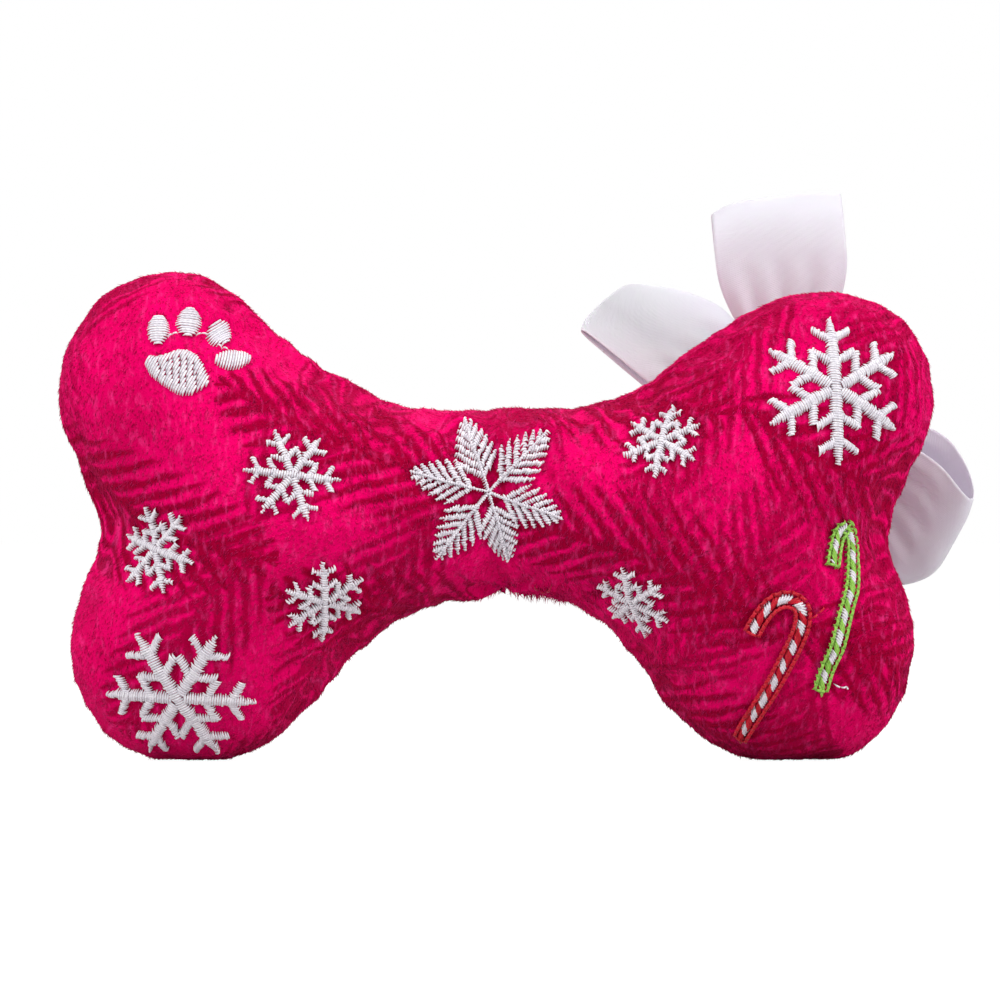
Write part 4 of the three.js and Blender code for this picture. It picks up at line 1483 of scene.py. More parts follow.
@dataclass
class PlushBone:
    """Two sewn plush panels with their pile, blown up by the stuffing inside."""

    voxel: float = 2.1 * MM
    cloth_scale: float = 10.0
    cloth_frames: int = 20
    cloth_limit: float = 1.6 * MM
    waist: Pixel = (508, 583)
    pucker_radius: float = 17 * MM
    fold_height: float = 2.0
    dimple_depth: float = 2.7
    groove_depth: float = 0.5
    frayed: Pixel = (550, 592)
    pile_length: float = 1.15 * MM
    pile_width: float = 0.32 * MM
    pile_inset: float = 0.25 * MM
    wall: float = 1.5 * MM
    locks: int = 49000
    seam: float = PHOTO.seam

    def closed_skin(self) -> bmesh.types.BMesh:
        """The outside of both CAD panels as one closed, evenly meshed surface.

        Returns:
            The surface.
        """
        whole = bmesh.new()
        for node in ("front_panel", "back_panel"):
            part = self._outside_of(node)
            mesh = bpy.data.meshes.new("part")
            part.to_mesh(mesh)
            part.free()
            whole.from_mesh(mesh)
            bpy.data.meshes.remove(mesh)
        for vert in whole.verts:
            if abs(vert.co.y - self.seam) < 0.2 * MM:
                vert.co.y = self.seam
        bmesh.ops.remove_doubles(whole, verts=whole.verts, dist=0.02 * MM)
        bmesh.ops.join_triangles(
            whole, faces=whole.faces, angle_face_threshold=0.7, angle_shape_threshold=0.9
        )
        form = BVHTree.FromBMesh(whole)
        rough = object_of("rough_skin", whole)
        modify(rough, "Rounded", "SUBSURF", levels=2, render_levels=2)
        modify(rough, "Even", "REMESH", mode="VOXEL", voxel_size=self.voxel)
        return self._filled_out(finished_copy(rough), form)

    def _filled_out(self, shape: bmesh.types.BMesh, form: BVHTree) -> bmesh.types.BMesh:
        """Moves an evenly meshed surface back out to the form that its rounding drew it away from.

        Args:
            shape: the rounded surface.
            form: the form that it goes back to.

        Returns:
            The surface, moved.
        """
        depth, reach = 2.0 * MM, 8.0 * MM
        for _ in range(2):
            shape.normal_update()
            edges = np.array([[vert.index for vert in edge.verts] for edge in shape.edges])
            gaps = []
            for vert in shape.verts:
                hit = form.ray_cast(vert.co - vert.normal * depth, vert.normal, reach)
                gaps.append(min(hit[3] - depth, 4 * MM) if hit[0] else 0.0)
            gaps = spread_out(np.array(gaps)[:, None], edges, 2)[:, 0]
            for vert, gap in zip(shape.verts, gaps):
                vert.co += vert.normal * float(gap)
        return shape

    def _outside_of(self, node: str) -> bmesh.types.BMesh:
        """The outer faces of a panel, up to the rim where it is sewn.

        Args:
            node: the panel's node.

        Returns:
            Its outer faces.
        """
        shape = merged_node(node)
        low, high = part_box(node)
        rim, far = (high.y, low.y) if node == "front_panel" else (low.y, high.y)
        flat = [face for face in shape.faces if all(abs(v.co.y - rim) < 0.02 * MM for v in face.verts)]
        bmesh.ops.delete(shape, geom=flat, context="FACES")
        outermost = min(shape.verts, key=lambda vert: abs(vert.co.y - far))
        kept, queue = {outermost}, [outermost]
        while queue:
            vert = queue.pop()
            for edge in vert.link_edges:
                other = edge.other_vert(vert)
                if other not in kept:
                    kept.add(other)
                    queue.append(other)
        bmesh.ops.delete(shape, geom=[v for v in shape.verts if v not in kept], context="VERTS")
        return shape

    def _near_seam(self, depth: float, reach: float) -> float:
        """1 at the seam's depth, and less the further in front of it or behind it."""
        return math.exp(-(((depth - self.seam) / reach) ** 2))

    def stuffed(self, shape: bmesh.types.BMesh) -> bmesh.types.BMesh:
        """Blows the skin up as cloth whose seam has drawn in, and keeps it near its first form.

        Args:
            shape: the closed skin.

        Returns:
            The stuffed skin.
        """
        start = np.array([vert.co[:] for vert in shape.verts])
        for vert in shape.verts:
            vert.co = (vert.co - vert.normal * (0.9 * MM)) * self.cloth_scale
        soft = object_of("soft_skin", shape)
        group = soft.vertex_groups.new(name="seam")
        for i, place in enumerate(start):
            group.add([i], max(self._near_seam(place[1], 3 * MM), 0.001), "REPLACE")
        cloth = modify(soft, "Stuffing", "CLOTH")
        for key, value in STUFFED_CLOTH.items():
            setattr(cloth.settings, key, value)
        cloth.settings.effector_weights.gravity = 0.0
        cloth.collision_settings.use_collision = False
        scene = bpy.context.scene
        cloth.point_cache.frame_start = 1
        cloth.point_cache.frame_end = self.cloth_frames
        for step in range(1, self.cloth_frames + 1):
            scene.frame_set(step)
        result = finished_copy(soft)
        scene.frame_set(1)
        moved = np.array([vert.co[:] for vert in result.verts]) / self.cloth_scale - start
        edges = np.array([[vert.index for vert in edge.verts] for edge in result.edges])
        moved -= spread_out(moved, edges, 45)
        far = np.linalg.norm(moved, axis=1, keepdims=True)
        LOG.info("cloth moved %.2f mm on average and %.2f mm at most", far.mean() / MM, far.max() / MM)
        moved *= np.minimum(1.0, self.cloth_limit / np.maximum(far, 1e-9))
        for vert, place in zip(result.verts, start + moved):
            vert.co = place
        return result

    def refined(self, shape: bmesh.types.BMesh) -> bmesh.types.BMesh:
        """Rounds the skin, cuts the seam into it, and gives it its folds and hollows.

        Args:
            shape: the stuffed skin.

        Returns:
            The finer skin.
        """
        smooth(shape)
        coarse = object_of("coarse_skin", shape)
        modify(coarse, "Rounded", "SUBSURF", levels=1, render_levels=1)
        fine = finished_copy(coarse)
        for offset in (-1.2, -0.5, 0.0, 0.5, 1.2):
            slice_through(fine, (0, self.seam + offset * MM, 0), (0, 1, 0), dist=1e-5)
        bmesh.ops.remove_doubles(fine, verts=fine.verts, dist=0.12 * MM)
        fine.normal_update()
        pucker = PHOTO.place(self.waist)
        middle = PHOTO.place((495.5, 583)).x
        for vert in fine.verts:
            place = vert.co
            lumps = noise.noise(place * 95.0) * 0.42 + noise.noise(place * 240.0) * 0.14
            groove = self.groove_depth * self._near_seam(place.y, 0.75 * MM)
            lobe = min(max((abs(place.x - middle) - 12 * MM) / (25 * MM), 0.0), 1.0)
            rim = (2.7 * lobe * lobe * (3 - 2 * lobe) - 0.6) * self._near_seam(place.y, 3.0 * MM)
            gathers = self._gathers(place) * self._near_seam(place.y, 5.5 * MM)
            reach = place - pucker
            near = max(0.0, 1 - reach.length / self.pucker_radius)
            turn = math.atan2(reach.z - reach.y * 0.5, reach.x)
            folds = self.fold_height * near * near * math.sin(6.0 * turn)
            dimple = self.dimple_depth * near ** 3
            vert.co = place + vert.normal * (
                (lumps + gathers + folds + rim - groove - dimple) * MM - self.pile_inset
            )
        for vert in fine.verts:
            vert.co.z = max(vert.co.z, 0.35 * MM)
        fine.normal_update()
        return fine

    def _gathers(self, place: Vector) -> float:
        """Small gathers along the seam, strongest where the outline curves in.

        Args:
            place: a point of the skin.

        Returns:
            Their height there, in millimetres.
        """
        waist = math.exp(-(((place.x - PHOTO.place((495, 0)).x) / (34 * MM)) ** 2))
        wave = noise.noise(Vector((place.x * 260.0, 0.0, place.z * 260.0)))
        return wave * (0.35 + 0.5 * waist)

    def dented(self, shape: bmesh.types.BMesh, marks: Sequence[Vector]) -> None:
        """Presses the cloth down where it is stitched.

        Args:
            shape: the skin, which it changes.
            marks: points along the stitches.
        """
        tree = tree_of(marks)
        for vert in shape.verts:
            if vert.co.y < self.seam:
                _, _, far = tree.find(vert.co)
                near = max(0.0, 1 - far / (2.4 * MM))
                vert.co -= vert.normal * (0.5 * MM * near * near)
        shape.normal_update()

    def panels(self, shape: bmesh.types.BMesh) -> list[bpy.types.Object]:
        """Splits the skin at the seam into the front and the back panel, each with its own wall.

        Args:
            shape: the skin, which it frees.

        Returns:
            The front panel and the back one.
        """
        made = []
        for node, side, offset in (("front_panel", 1, 0.0), ("back_panel", -1, 0.31)):
            half = shape.copy()
            slice_through(
                half, (0, self.seam - side * 0.02 * MM, 0), (0, side, 0), dist=1e-5, clear_outer=True
            )
            half.normal_update()
            cut = np.array([self.flat_place(vert.co, vert.normal, offset) for vert in half.verts])
            mesh = bpy.data.meshes.new(f"{node}_plush")
            for face in half.faces:
                face.smooth = True
            half.to_mesh(mesh)
            half.free()
            set_attribute(mesh, CLOTH_PLACE, "FLOAT_VECTOR", cut)
            piece = new_object(f"{node}_plush", mesh, PLUSH.material(f"{node}_cloth", pile=False))
            modify(piece, "Wall", "SOLIDIFY", thickness=self.wall, offset=-1.0)
            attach(piece, "bone")
            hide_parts(node)
            LOG.info("%s: %d faces", piece.name, len(mesh.polygons))
            made.append(piece)
        shape.free()
        return made

    def flat_place(self, place: Vector, normal: Vector, offset: float) -> Vector:
        """Where a point lay on the flat cloth before it was stuffed.

        Args:
            place: the point.
            normal: its outward direction.
            offset: how far the print is shifted.

        Returns:
            The place on the flat cloth.
        """
        tilt = math.acos(min(1.0, abs(normal.y)))
        level = Vector((normal.x, normal.z))
        if level.length > 1e-6:
            level.normalize()
        spare = 0.020 * (tilt - math.sin(tilt))
        return Vector((place.x + level.x * spare + offset, place.z + level.y * spare, 0.0))

    def _lock_roots(
        self, mesh: bpy.types.Mesh, marks: Optional[KDTree], luck: np.random.Generator
    ) -> tuple[np.ndarray, np.ndarray, np.ndarray]:
        """Picks evenly spread points of a panel, away from the stitches and the seam.

        Args:
            mesh: the panel's mesh.
            marks: where the stitches lie, or None.
            luck: the pile's own luck.

        Returns:
            The points, their outward directions and their places on the flat cloth.
        """
        count = self.locks
        mesh.calc_loop_triangles()
        corners = read_rows(mesh.loop_triangles, "vertices", np.int32)
        places = read_rows(mesh.vertices, "co", np.float64)
        normals = np.array([vert.normal[:] for vert in mesh.vertices])
        cut = read_rows(mesh.attributes[CLOTH_PLACE].data, "vector", np.float32)
        tri = places[corners]
        area = np.linalg.norm(np.cross(tri[:, 1] - tri[:, 0], tri[:, 2] - tri[:, 0]), axis=1)
        chosen = luck.choice(len(area), count, p=area / area.sum())
        shares = luck.random((count, 2))
        flip = shares.sum(axis=1) > 1
        shares[flip] = 1 - shares[flip]
        weights = np.column_stack([1 - shares.sum(axis=1), shares])[..., None]
        roots = (places[corners[chosen]] * weights).sum(axis=1)
        outward = unit((normals[corners[chosen]] * weights).sum(axis=1))
        flat = (cut[corners[chosen]] * weights).sum(axis=1)
        kept = np.ones(count, bool)
        if marks is not None:
            far = np.array([marks.find(Vector(root))[2] for root in roots])
            kept &= far > 0.55 * MM
        kept &= np.abs(roots[:, 1] - self.seam) > 0.12 * MM
        return roots[kept], outward[kept], flat[kept]

    def pile(self, panel: bpy.types.Object, marks: Optional[KDTree], seed: int) -> None:
        """Sets locks of pile all over a panel, brushed one way and parted by the stitching.

        Args:
            panel: the panel whose outer face carries the pile.
            marks: where the stitches lie, or None.
            seed: the start of the locks' own luck.
        """
        luck = np.random.default_rng(seed)
        roots, outward, flat = self._lock_roots(panel.data, marks, luck)
        count = len(roots)
        swirl = np.array([noise.noise_vector(Vector(root) * 55.0)[:] for root in roots])
        clump = np.array([noise.noise_vector(Vector(root) * 520.0)[:] for root in roots])
        brush = np.array([-0.35, 0.0, -0.85]) + swirl * 0.9 + luck.normal(0, 0.22, (count, 3))
        lying = unit(brush - outward * (brush * outward).sum(axis=1, keepdims=True))
        lean = np.radians(luck.uniform(8, 26, count))[:, None]
        direction = unit(lying * np.cos(lean) + outward * np.sin(lean) + clump * 0.2)
        side = unit(np.cross(direction, outward))
        up = np.cross(side, direction)
        opening = PHOTO.place(self.frayed)
        across = (roots[:, 0] - opening.x) / (11 * MM)
        rising = (roots[:, 2] - opening.z) / (2.5 * MM)
        frayed = np.exp(-(across ** 2 + rising ** 2))
        direction += outward * (0.5 * frayed * luck.random(count))[:, None]
        growth = luck.uniform(0.65, 1.15, count) * (1 + 1.1 * frayed * luck.random(count))
        length = self.pile_length * growth[:, None]
        width = self.pile_width * luck.uniform(0.7, 1.2, count)[:, None]
        template = LOCK_TEMPLATE
        t = template.corners[:, 2]
        rise = t[None, :, None]
        spread, height = (template.corners[None, :, k:k + 1] for k in (0, 1))
        spots = (
            (roots - outward * (0.12 * MM))[:, None, :]
            + direction[:, None, :] * length[:, None, :] * rise
            + side[:, None, :] * width[:, None, :] / 2 * spread
            + up[:, None, :] * width[:, None, :] / 3 * height
        )
        spots[..., 2] = np.maximum(spots[..., 2], 0.1 * MM)
        name = f"{panel.name.replace('_plush', '')}_pile"
        pile = template.repeated(name, spots)
        set_attribute(pile, CLOTH_PLACE, "FLOAT_VECTOR", np.repeat(flat, len(t), axis=0))
        set_attribute(pile, SHADE, "FLOAT", np.repeat(luck.random(count), len(t)))
        set_attribute(pile, TIP, "FLOAT", np.tile(t, count))
        piece = new_object(name, pile, PLUSH.material(name, pile=True))
        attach(piece, "bone")
        LOG.info("%s: %d locks", name, count)

    def closing_stitches(self, skin: Skin) -> None:
        """The hand stitches that close the stuffing opening under the waist.

        Args:
            skin: the skin that they are sewn to.
        """
        thread = Thread()
        first_pixel, pitch, count = 452, 8.2, 15
        for i in range(count):
            below = PHOTO.place((first_pixel + i * pitch, 700))
            ends = []
            for depth in (-1.1, 0.0, 1.1):
                hit, normal, _, _ = skin.tree.ray_cast(
                    Vector((below.x + depth * 0.5 * MM, self.seam + depth * MM, 0.02)), Vector((0, 0, 1))
                )
                ends.append((hit, normal))
            thread.stitch(*ends, 0.42 * MM, 0.35 * MM, 0.4, 1.0)
        thread.build_loose("closing_stitches", PINK_THREAD.material("closing_thread"), "red_thread")


def spread_out(values: np.ndarray, edges: np.ndarray, passes: int) -> np.ndarray:
    """Averages a value per vertex with its neighbours' over and over.

    Args:
        values: one row per vertex.
        edges: the mesh's edges, as pairs of vertex numbers.
        passes: how often each vertex is averaged.

    Returns:
        The broad part of the values.
    """
    broad = values.copy()
    count = np.bincount(edges.ravel(), minlength=len(values))[:, None]
    for _ in range(passes):
        total = np.zeros_like(broad)
        np.add.at(total, edges[:, 0], broad[edges[:, 1]])
        np.add.at(total, edges[:, 1], broad[edges[:, 0]])
        broad = (broad + total / np.maximum(count, 1)) / 2
    return broad


def tree_of(points: Sequence[Vector]) -> KDTree:
    """A search tree of points.

    Args:
        points: the points.

    Returns:
        The balanced tree.
    """
    tree = KDTree(len(points))
    for i, point in enumerate(points):
        tree.insert(point, i)
    tree.balance()
    return tree


@dataclass
class Filling:
    """The wads of fibre inside the toy."""

    nodes: Sequence[str] = (
        "fill_upper_left", "fill_lower_left", "fill_upper_right", "fill_lower_right", "fill_middle_front",
        "fill_middle_back",
    )
    voxel: float = 1.7 * MM

    def build(self) -> None:
        """Roughens each CAD wad into matted fibre."""
        material = FILLING.material("filling_fibre")
        for node in self.nodes:
            rough = object_of(f"{node}_rough", merged_node(node))
            modify(rough, "Even", "REMESH", mode="VOXEL", voxel_size=self.voxel)
            shape = finished_copy(rough)
            smooth(shape, 2)
            shape.normal_update()
            for vert in shape.verts:
                tufts = noise.noise(vert.co * 320.0) * 0.5 + noise.noise(vert.co * 800.0) * 0.3
                vert.co = vert.co + vert.normal * ((tufts - 0.75) * MM)
            piece = object_of(f"{node}_wad", shape, material)
            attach(piece, "bone")
            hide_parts(node)
            LOG.info("%s: %d faces", piece.name, len(piece.data.polygons))


@dataclass
class Squeaker:
    """The squeaker: a soft bladder with a reed holder in its neck and a reed in that."""

    radius: float = 10.5 * MM
    half: float = 7.0 * MM
    wall: float = 1.2 * MM
    corner: float = 3.0 * MM
    neck: float = 4.5 * MM
    neck_depth: float = 5.0 * MM
    gap: float = 0.3 * MM
    flange: float = 1.4 * MM
    bore: float = 1.5 * MM
    holder_length: float = 5.5 * MM
    steps: int = 56

    def __post_init__(self) -> None:
        """Finds the squeaker's middle from its CAD bladder."""
        low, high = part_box("squeaker_bladder")
        self.middle = (low + high) / 2

    def build(self) -> None:
        """Makes the three pieces in place of their nodes."""
        self._bladder()
        self._holder()
        self._reed()

    def _spun(self, profile: Sequence[tuple[float, float]], closed: bool) -> bmesh.types.BMesh:
        """Turns a profile about the squeaker's axis, which runs from front to back.

        Args:
            profile: its corners, as radii and depths.
            closed: true where its ends are joined.

        Returns:
            The shape, in its place.
        """
        shape = bmesh.new()
        verts = [shape.verts.new((radius, depth, 0.0)) for radius, depth in profile]
        edges = [shape.edges.new(pair) for pair in zip(verts, verts[1:])]
        if closed:
            edges.append(shape.edges.new((verts[-1], verts[0])))
        bmesh.ops.spin(
            shape, geom=verts + edges, cent=(0, 0, 0), axis=(0, 1, 0), angle=2 * math.pi,
            steps=self.steps, use_merge=True,
        )
        bmesh.ops.remove_doubles(shape, verts=shape.verts, dist=1e-6)
        bmesh.ops.recalc_face_normals(shape, faces=shape.faces)
        bmesh.ops.translate(shape, verts=shape.verts, vec=self.middle)
        return shape

    def _arc(self, radius: float, depth: float, size: float, rising: bool) -> list[tuple[float, float]]:
        """A rounded corner of a profile.

        Args:
            radius: the outer radius.
            depth: the outer depth.
            size: the corner's own radius.
            rising: true at the back end.

        Returns:
            The corner's points.
        """
        steps = [k / 6 for k in range(7)]
        turns = steps if rising else [1 - step for step in steps]
        way = 1 if rising else -1
        return [
            (radius - size + size * math.cos(turn * math.pi / 2),
             way * (depth - size + size * math.sin(turn * math.pi / 2)))
            for turn in turns
        ]

    def _bladder(self) -> None:
        """The hollow bladder, with two soft ribs round its side."""
        inner = self.corner - self.wall
        seat = self.half - self.neck_depth
        turns = np.linspace(0, 4 * math.pi, 17)
        depths = np.linspace(-self.half + self.corner, self.half - self.corner, 17)
        rib = [
            (self.radius - 0.25 * MM * (1 - math.cos(turn)) / 2, depth)
            for turn, depth in zip(turns[1:-1], depths[1:-1])
        ]
        profile = [
            (0.0, -self.half), *self._arc(self.radius, self.half, self.corner, False), *rib,
            *self._arc(self.radius, self.half, self.corner, True),
            (self.neck, self.half), (self.neck, seat + self.wall),
            (self.neck - self.wall, seat + self.wall), (self.neck - self.wall, seat),
            (self.neck + self.wall, seat),
            (self.neck + self.wall, self.half - self.wall),
            *reversed(self._arc(self.radius - self.wall, self.half - self.wall, inner, True)),
            *reversed(self._arc(self.radius - self.wall, self.half - self.wall, inner, False)),
            (0.0, -self.half + self.wall),
        ]
        self._finish("squeaker_bladder", self._spun(profile, closed=False), BLADDER, "soft_plastic")

    def _holder(self) -> None:
        """The flanged tube that holds the reed."""
        seat = self.half - self.neck_depth + self.wall + self.gap
        stem = self.neck - self.wall - self.gap
        low = seat - self.holder_length + self.flange
        top, rim = seat + self.flange, self.neck - self.gap
        chamfer, rim_chamfer = 0.2 * MM, 0.25 * MM
        profile = [
            (self.bore, low), (stem - chamfer, low), (stem, low + 0.3 * MM), (stem, seat),
            (rim, seat), (rim, top - rim_chamfer), (rim - rim_chamfer, top),
            (self.bore + chamfer, top), (self.bore, top - chamfer),
        ]
        self._finish("squeaker_reed_holder", self._spun(profile, closed=True), HOLDER, "hard_plastic")

    def _reed(self) -> None:
        """The thin reed, slightly bowed."""
        low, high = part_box("squeaker_reed")
        size, middle = high - low, (low + high) / 2
        shape = bmesh.new()
        bmesh.ops.create_cube(shape, size=1.0)
        bmesh.ops.scale(shape, verts=shape.verts, vec=(size.x, size.y, size.z * 0.45))
        lengthwise = [edge for edge in shape.edges if abs((edge.verts[0].co - edge.verts[1].co).y) > MM]
        bmesh.ops.subdivide_edges(shape, edges=lengthwise, cuts=6, use_grid_fill=True)
        for vert in shape.verts:
            vert.co.z += 0.11 * MM * math.cos(vert.co.y / size.y * math.pi)
        bmesh.ops.translate(shape, verts=shape.verts, vec=middle)
        self._finish("squeaker_reed", shape, REED, "reed_film")

    def _finish(self, node: str, shape: bmesh.types.BMesh, finish: MouldedFinish, slot: str) -> None:
        """Dresses a piece and sets it in place of its node.

        Args:
            node: the node.
            shape: the piece's shape.
            finish: its finish.
            slot: not used.
        """
        piece = object_of(f"{node}_moulded", shape, finish.material(node))
        modify(piece, "Edges", "BEVEL", width=0.12 * MM, segments=2, limit_method="ANGLE")
        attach(piece, "bone")
        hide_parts(node)
        LOG.info("%s", piece.name)


# The bow


@dataclass(frozen=True)
class LoopForm:
    """How a loop is shaped. Lengths are in millimetres and angles in degrees.

    opening is the share of the way out at which the ribbon has its whole width. droop and bend are
    how far the tip moves across and back, as shares of the length.
    """

    joint: str
    lean: float
    length: float
    puff: float
    opening: float
    root_twist: float
    tip_twist: float
    droop: float
    bend: float
    low_corner: float
    high_corner: float


class LoopShape(Enum):
    """The four loops."""

    TOP = LoopForm(
        joint="top", lean=4, length=39.5, puff=8.0, opening=0.7, root_twist=3, tip_twist=9,
        droop=0.0, bend=0.05, low_corner=0.9, high_corner=2.2,
    )
    LEFT = LoopForm(
        joint="left", lean=11, length=40.6, puff=0.3, opening=0.6, root_twist=28, tip_twist=64,
        droop=0.03, bend=0.0, low_corner=5.5, high_corner=1.6,
    )
    RIGHT = LoopForm(
        joint="right", lean=8, length=31.6, puff=9.5, opening=0.8, root_twist=8, tip_twist=26,
        droop=-0.32, bend=0.0, low_corner=5.0, high_corner=1.0,
    )
    LOWER = LoopForm(
        joint="lower", lean=16, length=38.0, puff=10.0, opening=0.55, root_twist=0, tip_twist=10,
        droop=0.0, bend=0.05, low_corner=1.2, high_corner=1.2,
    )


def joint(name: str) -> dict:
    """A joint of the frame by its name."""
    return next(entry for entry in frame["joints"] if entry["name"] == name)


@dataclass
class Bow:
    """Four loops of satin ribbon gathered under a band, and tacked to the back panel."""

    ribbon_width: float = 25 * MM
    gathered_width: float = 8.5 * MM
    root_spacing: float = 2.0 * MM
    thickness: float = 0.22 * MM
    tuck: float = 2.2 * MM
    clearance: float = 1.9 * MM
    pleats: int = 4
    run_steps: int = 72
    across_steps: int = 40
    band_radius: float = 4.3 * MM
    band_length: float = 11.2 * MM

    def __post_init__(self) -> None:
        """Reads the bow's place and direction from its swivel."""
        swivel = joint("bow_swivel")
        self.middle = Vector(swivel["pos_m"])
        self.back = Vector(swivel["axis"]).normalized()
        self.satin = SATIN.material("satin_ribbon")

    def build(self) -> None:
        """Makes the loops and the band."""
        for loop in LoopShape:
            self._loop(loop.value)
        self._band()

    def _ribbon_place(self, form: LoopForm, run: float, share: float) -> tuple[float, float, float]:
        """Where a point of a loop's ribbon lies.

        Args:
            form: the loop's form.
            run: its share of the way out from the root and back.
            share: its place across the ribbon, from -0.5 to 0.5.

        Returns:
            How far it is out from the root, backwards and across.
        """
        angle = math.pi * run
        out = math.sin(angle)
        spread = np.clip(out / form.opening, 0, 1)
        spread = spread * spread * (3 - 2 * spread)
        half = (self.gathered_width + (self.ribbon_width - self.gathered_width) * spread) / 2
        slack = math.sqrt(max(self.ribbon_width ** 2 - (2 * half) ** 2, 0.0))
        eased = min(out / 0.6, 1.0) ** 2
        fold = min(slack / (4 * self.pleats), (1.15 - 0.85 * eased) * MM)
        pleat = fold * math.cos(2 * math.pi * self.pleats * share)
        pleat += 0.35 * MM * (1 - out) * math.sin(9 * share + 3 * run)
        layer = self.root_spacing / 2 * math.cos(angle) + form.puff * MM / 2 * math.sin(2 * angle)
        layer += 0.5 * MM * out * noise.noise(Vector((run * 5.0, share * 3.0, form.lean * 1.7)))
        twist = math.radians(form.root_twist + (form.tip_twist - form.root_twist) * out)
        crosswise = 2 * half * share
        reach = form.length * MM
        curl = form.bend * reach * out * out + self.clearance * min(1.0, 3 * out)
        drop = form.droop * reach * out * out
        depth = layer + pleat
        rounding = form.high_corner if share > 0 else form.low_corner
        corner = rounding * MM * abs(2 * share) ** 4 * out ** 6
        return (
            reach * out - self.tuck * (1 - min(1.0, out * 6)) - corner,
            depth * math.cos(twist) - crosswise * math.sin(twist) + curl,
            depth * math.sin(twist) + crosswise * math.cos(twist) + drop,
        )

    def _loop(self, form: LoopForm) -> None:
        """One loop, fixed under the band at its root and free to flop beyond it.

        Args:
            form: the loop's form.
        """
        name = form.joint
        hinge = joint(f"flop_{name}")
        root, across_axis = Vector(hinge["pos_m"]), Vector(hinge["axis"]).normalized()
        heading = self.back.cross(across_axis).normalized()
        tilt = math.radians(form.lean)
        out_axis = heading * math.cos(tilt) + self.back * math.sin(tilt)
        back_axis = across_axis.cross(out_axis)
        shape = bmesh.new()
        bmesh.ops.create_grid(shape, x_segments=self.run_steps, y_segments=self.across_steps, size=0.5)
        uv = shape.loops.layers.uv.new("ribbon")

        def at(run: float, share: float) -> Vector:
            """The place of a point of the ribbon, by its shares of the run and of the width."""
            out, back, across = self._ribbon_place(form, run, share)
            return root + out_axis * out + back_axis * back + across_axis * across

        shares = {vert: (vert.co.x + 0.5, vert.co.y) for vert in shape.verts}
        middle = [at(k / 200, 0.0) for k in range(201)]
        ribbon_length = sum((b - a).length for a, b in zip(middle, middle[1:]))
        for face in shape.faces:
            for corner in face.loops:
                run, share = shares[corner.vert]
                corner[uv].uv = (run * ribbon_length, share * self.ribbon_width)
        for vert, (run, share) in shares.items():
            vert.co = at(run, share)
        area = sum(face.calc_area() for face in shape.faces)
        bmesh.ops.recalc_face_normals(shape, faces=shape.faces)
        piece = object_of(f"bow_loop_{name}_ribbon", shape, self.satin)
        modify(piece, "Cloth", "SOLIDIFY", thickness=self.thickness, offset=0.0)
        root - out_axis * MM
        root + out_axis * (4 * MM)
        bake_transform(piece)
        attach(piece, f"loop_{name}")
        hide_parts(f"bow_loop_{name}")
        LOG.info(
            "%s: ribbon %.1f mm long, area %.0f of %.0f square mm", piece.name, ribbon_length / MM,
            area / MM ** 2, ribbon_length * self.ribbon_width / MM ** 2,
        )

    def tack(self, skin: Skin) -> None:
        """The thread that sews the band's foot to the back panel.

        Args:
            skin: the skin that it is sewn to.
        """
        thread = Thread()
        foot = self.middle - self.back * (5.4 * MM)
        for k in range(6):
            sweep = Matrix.Rotation(math.radians(60 * k + 10), 3, self.back)
            side = sweep @ self.back.orthogonal().normalized()
            low = skin.tree.find_nearest(foot + side * (4.6 * MM))[:2]
            high = foot + side * (3.4 * MM) + self.back * (0.7 * MM)
            middle = (low[0] + high) / 2 + side * (0.3 * MM)
            thread.stitch(low, (middle, side), (high, side), 0.4 * MM, 0.1 * MM, 0.3, 1.0)
        thread.build_loose("bow_tack_stitches", WHITE_THREAD.material("tack_thread"), "white_thread")

    def _band(self) -> None:
        """The short ribbon wrapped round the gather, with its folds along it."""
        turn = Vector((0, 0, 1)).rotation_difference(self.back).to_matrix().to_4x4()
        shape = bmesh.new()
        bmesh.ops.create_cone(
            shape, cap_ends=True, segments=64, radius1=self.band_radius, radius2=self.band_radius,
            depth=self.band_length,
        )
        lengthwise = [edge for edge in shape.edges if abs(edge.verts[0].co.z - edge.verts[1].co.z) > MM]
        bmesh.ops.subdivide_edges(shape, edges=lengthwise, cuts=14)
        for vert in shape.verts:
            angle = math.atan2(vert.co.y, vert.co.x)
            share = vert.co.z / (self.band_length / 2)
            ridge = 0.16 * math.cos(9 * math.pi * share + 1.5 * math.sin(angle)) * (1 - share ** 6)
            waist = -0.25 * (1 - share * share)
            rim = -0.45 * abs(share) ** 10
            out = Vector((vert.co.x, vert.co.y, 0)).normalized()
            vert.co += out * ((ridge + waist + rim) * MM)
        bmesh.ops.transform(shape, verts=shape.verts, matrix=Matrix.Translation(self.middle) @ turn)
        uv = shape.loops.layers.uv.new("ribbon")
        for face in shape.faces:
            for corner in face.loops:
                local = turn.inverted() @ (corner.vert.co - self.middle).to_4d()
                corner[uv].uv = (math.atan2(local.y, local.x) * self.band_radius, local.z)
        bmesh.ops.recalc_face_normals(shape, faces=shape.faces)
        piece = object_of("bow_band_ribbon", shape, self.satin)
        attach(piece, "bow")
        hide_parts("bow_band")
        LOG.info("%s", piece.name)


# The studio


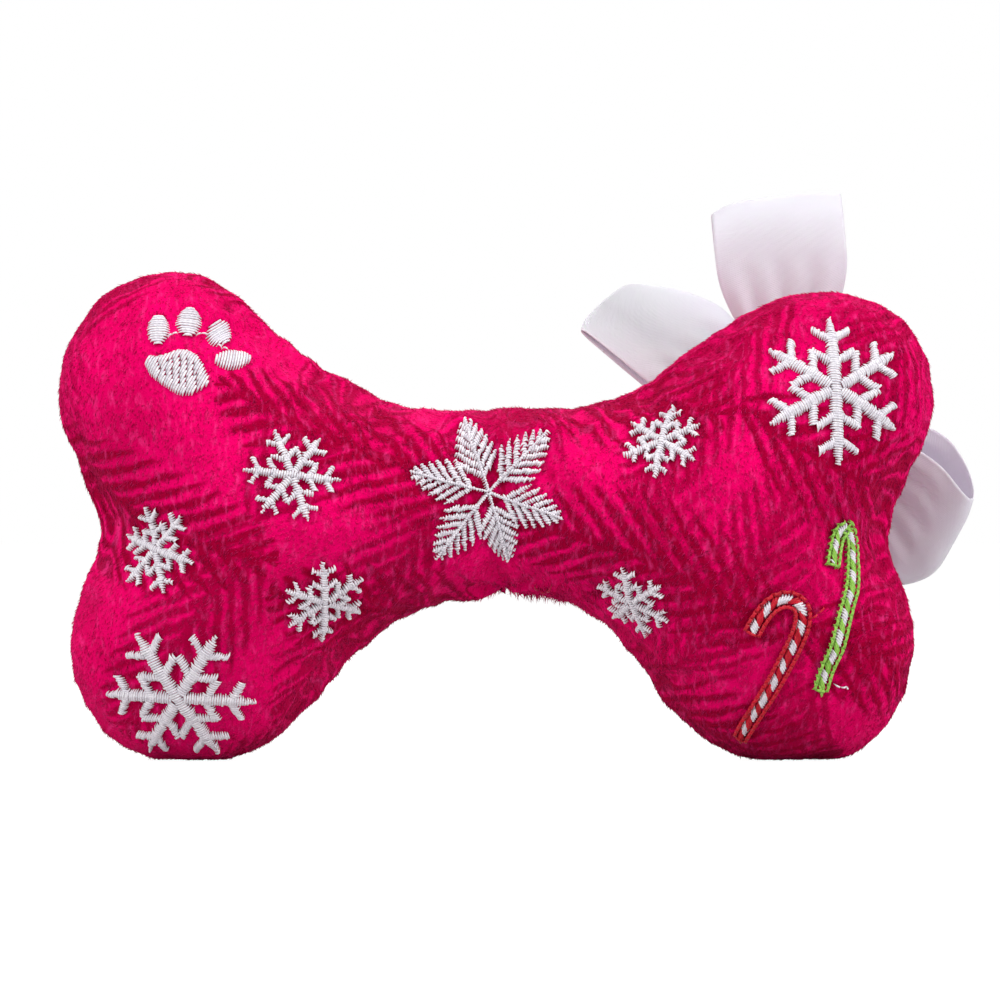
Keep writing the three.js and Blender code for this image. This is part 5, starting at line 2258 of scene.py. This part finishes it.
@dataclass
class Studio:
    """A white sweep, soft lamps and a level long lens."""

    view_width: float = 0.18814
    sky_light: float = 0.40
    floor_glow: float = 0.96
    lamps: Sequence[tuple[str, Sequence[float], float, float]] = (
        ("lamp_top", (-0.05, -0.25, 0.95), 0.8, 5.5),
        ("lamp_left", (-0.85, -0.70, 0.50), 0.6, 6.3),
        ("lamp_right", (0.94, -0.46, 0.42), 0.6, 6.6),
        ("lamp_back", (0.1, 0.95, 0.60), 0.8, 4.5),
    )

    def camera(self) -> None:
        """Looks straight at the front, with the photograph's framing."""
        data = bpy.data.cameras.new("camera")
        data.sensor_fit = "HORIZONTAL"
        data.sensor_width = 36.0
        data.clip_end = 50.0
        data.lens = data.sensor_width * PHOTO.distance / self.view_width
        camera = bpy.data.objects.new("camera", data)
        camera.location = PHOTO.eye()
        camera.rotation_euler = (math.radians(90), 0, 0)
        bpy.context.scene.collection.objects.link(camera)
        bpy.context.scene.camera = camera

    def lamp(self, name: str, place: Vector, size: float, power: float) -> None:
        """A square white soft box that points at the toy.

        Args:
            name: its name.
            place: where it hangs.
            size: its side, in metres.
            power: its power, in watts.
        """
        data = bpy.data.lights.new(name, "AREA")
        data.energy = power
        data.size = size
        lamp = bpy.data.objects.new(name, data)
        lamp.location = place
        aim = Vector((0, 0, 0.04)) - place
        lamp.rotation_euler = aim.to_track_quat("-Z", "Y").to_euler()
        bpy.context.scene.collection.objects.link(lamp)

    def floor(self) -> None:
        """A wide white floor that keeps a faint shadow."""
        shape = bmesh.new()
        bmesh.ops.create_grid(shape, x_segments=1, y_segments=1, size=6.0)
        graph = Graph("studio_floor")
        seen = graph.node("ShaderNodeLightPath", output="Is Camera Ray")
        matt = graph.node("ShaderNodeBsdfDiffuse", inputs={"Color": (0.55, 0.55, 0.55, 1)})
        pale = graph.node("ShaderNodeBsdfDiffuse", inputs={"Color": (0.14, 0.14, 0.14, 1)})
        glow = graph.node(
            "ShaderNodeEmission", inputs={"Color": (1, 1, 1, 1), "Strength": self.floor_glow}
        )
        white = graph.node("ShaderNodeAddShader", inputs={0: pale, 1: glow})
        graph.close(graph.node("ShaderNodeMixShader", inputs={0: seen, 1: matt, 2: white}))
        object_of("studio_floor", shape, graph.owner)

    def sky(self) -> None:
        """Even white light all round, and plain white for the camera."""
        world = bpy.data.worlds.new("studio")
        bpy.context.scene.world = world
        graph = Graph("studio", world)
        seen = graph.node("ShaderNodeLightPath", output="Is Camera Ray")
        light, white = (
            graph.node("ShaderNodeBackground", inputs={"Color": (1, 1, 1, 1), "Strength": strength})
            for strength in (self.sky_light, 1.0)
        )
        mix = graph.node("ShaderNodeMixShader", inputs={0: seen, 1: light, 2: white})
        graph.close(mix, "ShaderNodeOutputWorld")

    def build(self) -> None:
        """Sets up the whole studio."""
        self.camera()
        self.floor()
        self.sky()
        for name, place, size, power in self.lamps:
            self.lamp(name, Vector(place), size, power)
        bpy.context.scene.view_settings.view_transform = "Standard"


def main() -> None:
    """Builds the toy's parts in order."""
    logging.basicConfig(level=logging.INFO, format="%(asctime)s %(message)s")
    Studio().build()
    bone = PlushBone()
    surface = bone.refined(bone.stuffed(bone.closed_skin()))
    skin = Skin(surface)
    embroidery = Embroidery(skin)
    embroidery.build()
    bone.closing_stitches(skin)
    bone.dented(surface, embroidery.marks)
    front, back = bone.panels(surface)
    bone.pile(front, tree_of(embroidery.marks), 5)
    bone.pile(back, None, 6)
    Filling().build()
    Squeaker().build()
    bow = Bow()
    bow.build()
    bow.tack(skin)


if __name__ == "__main__":
    main()
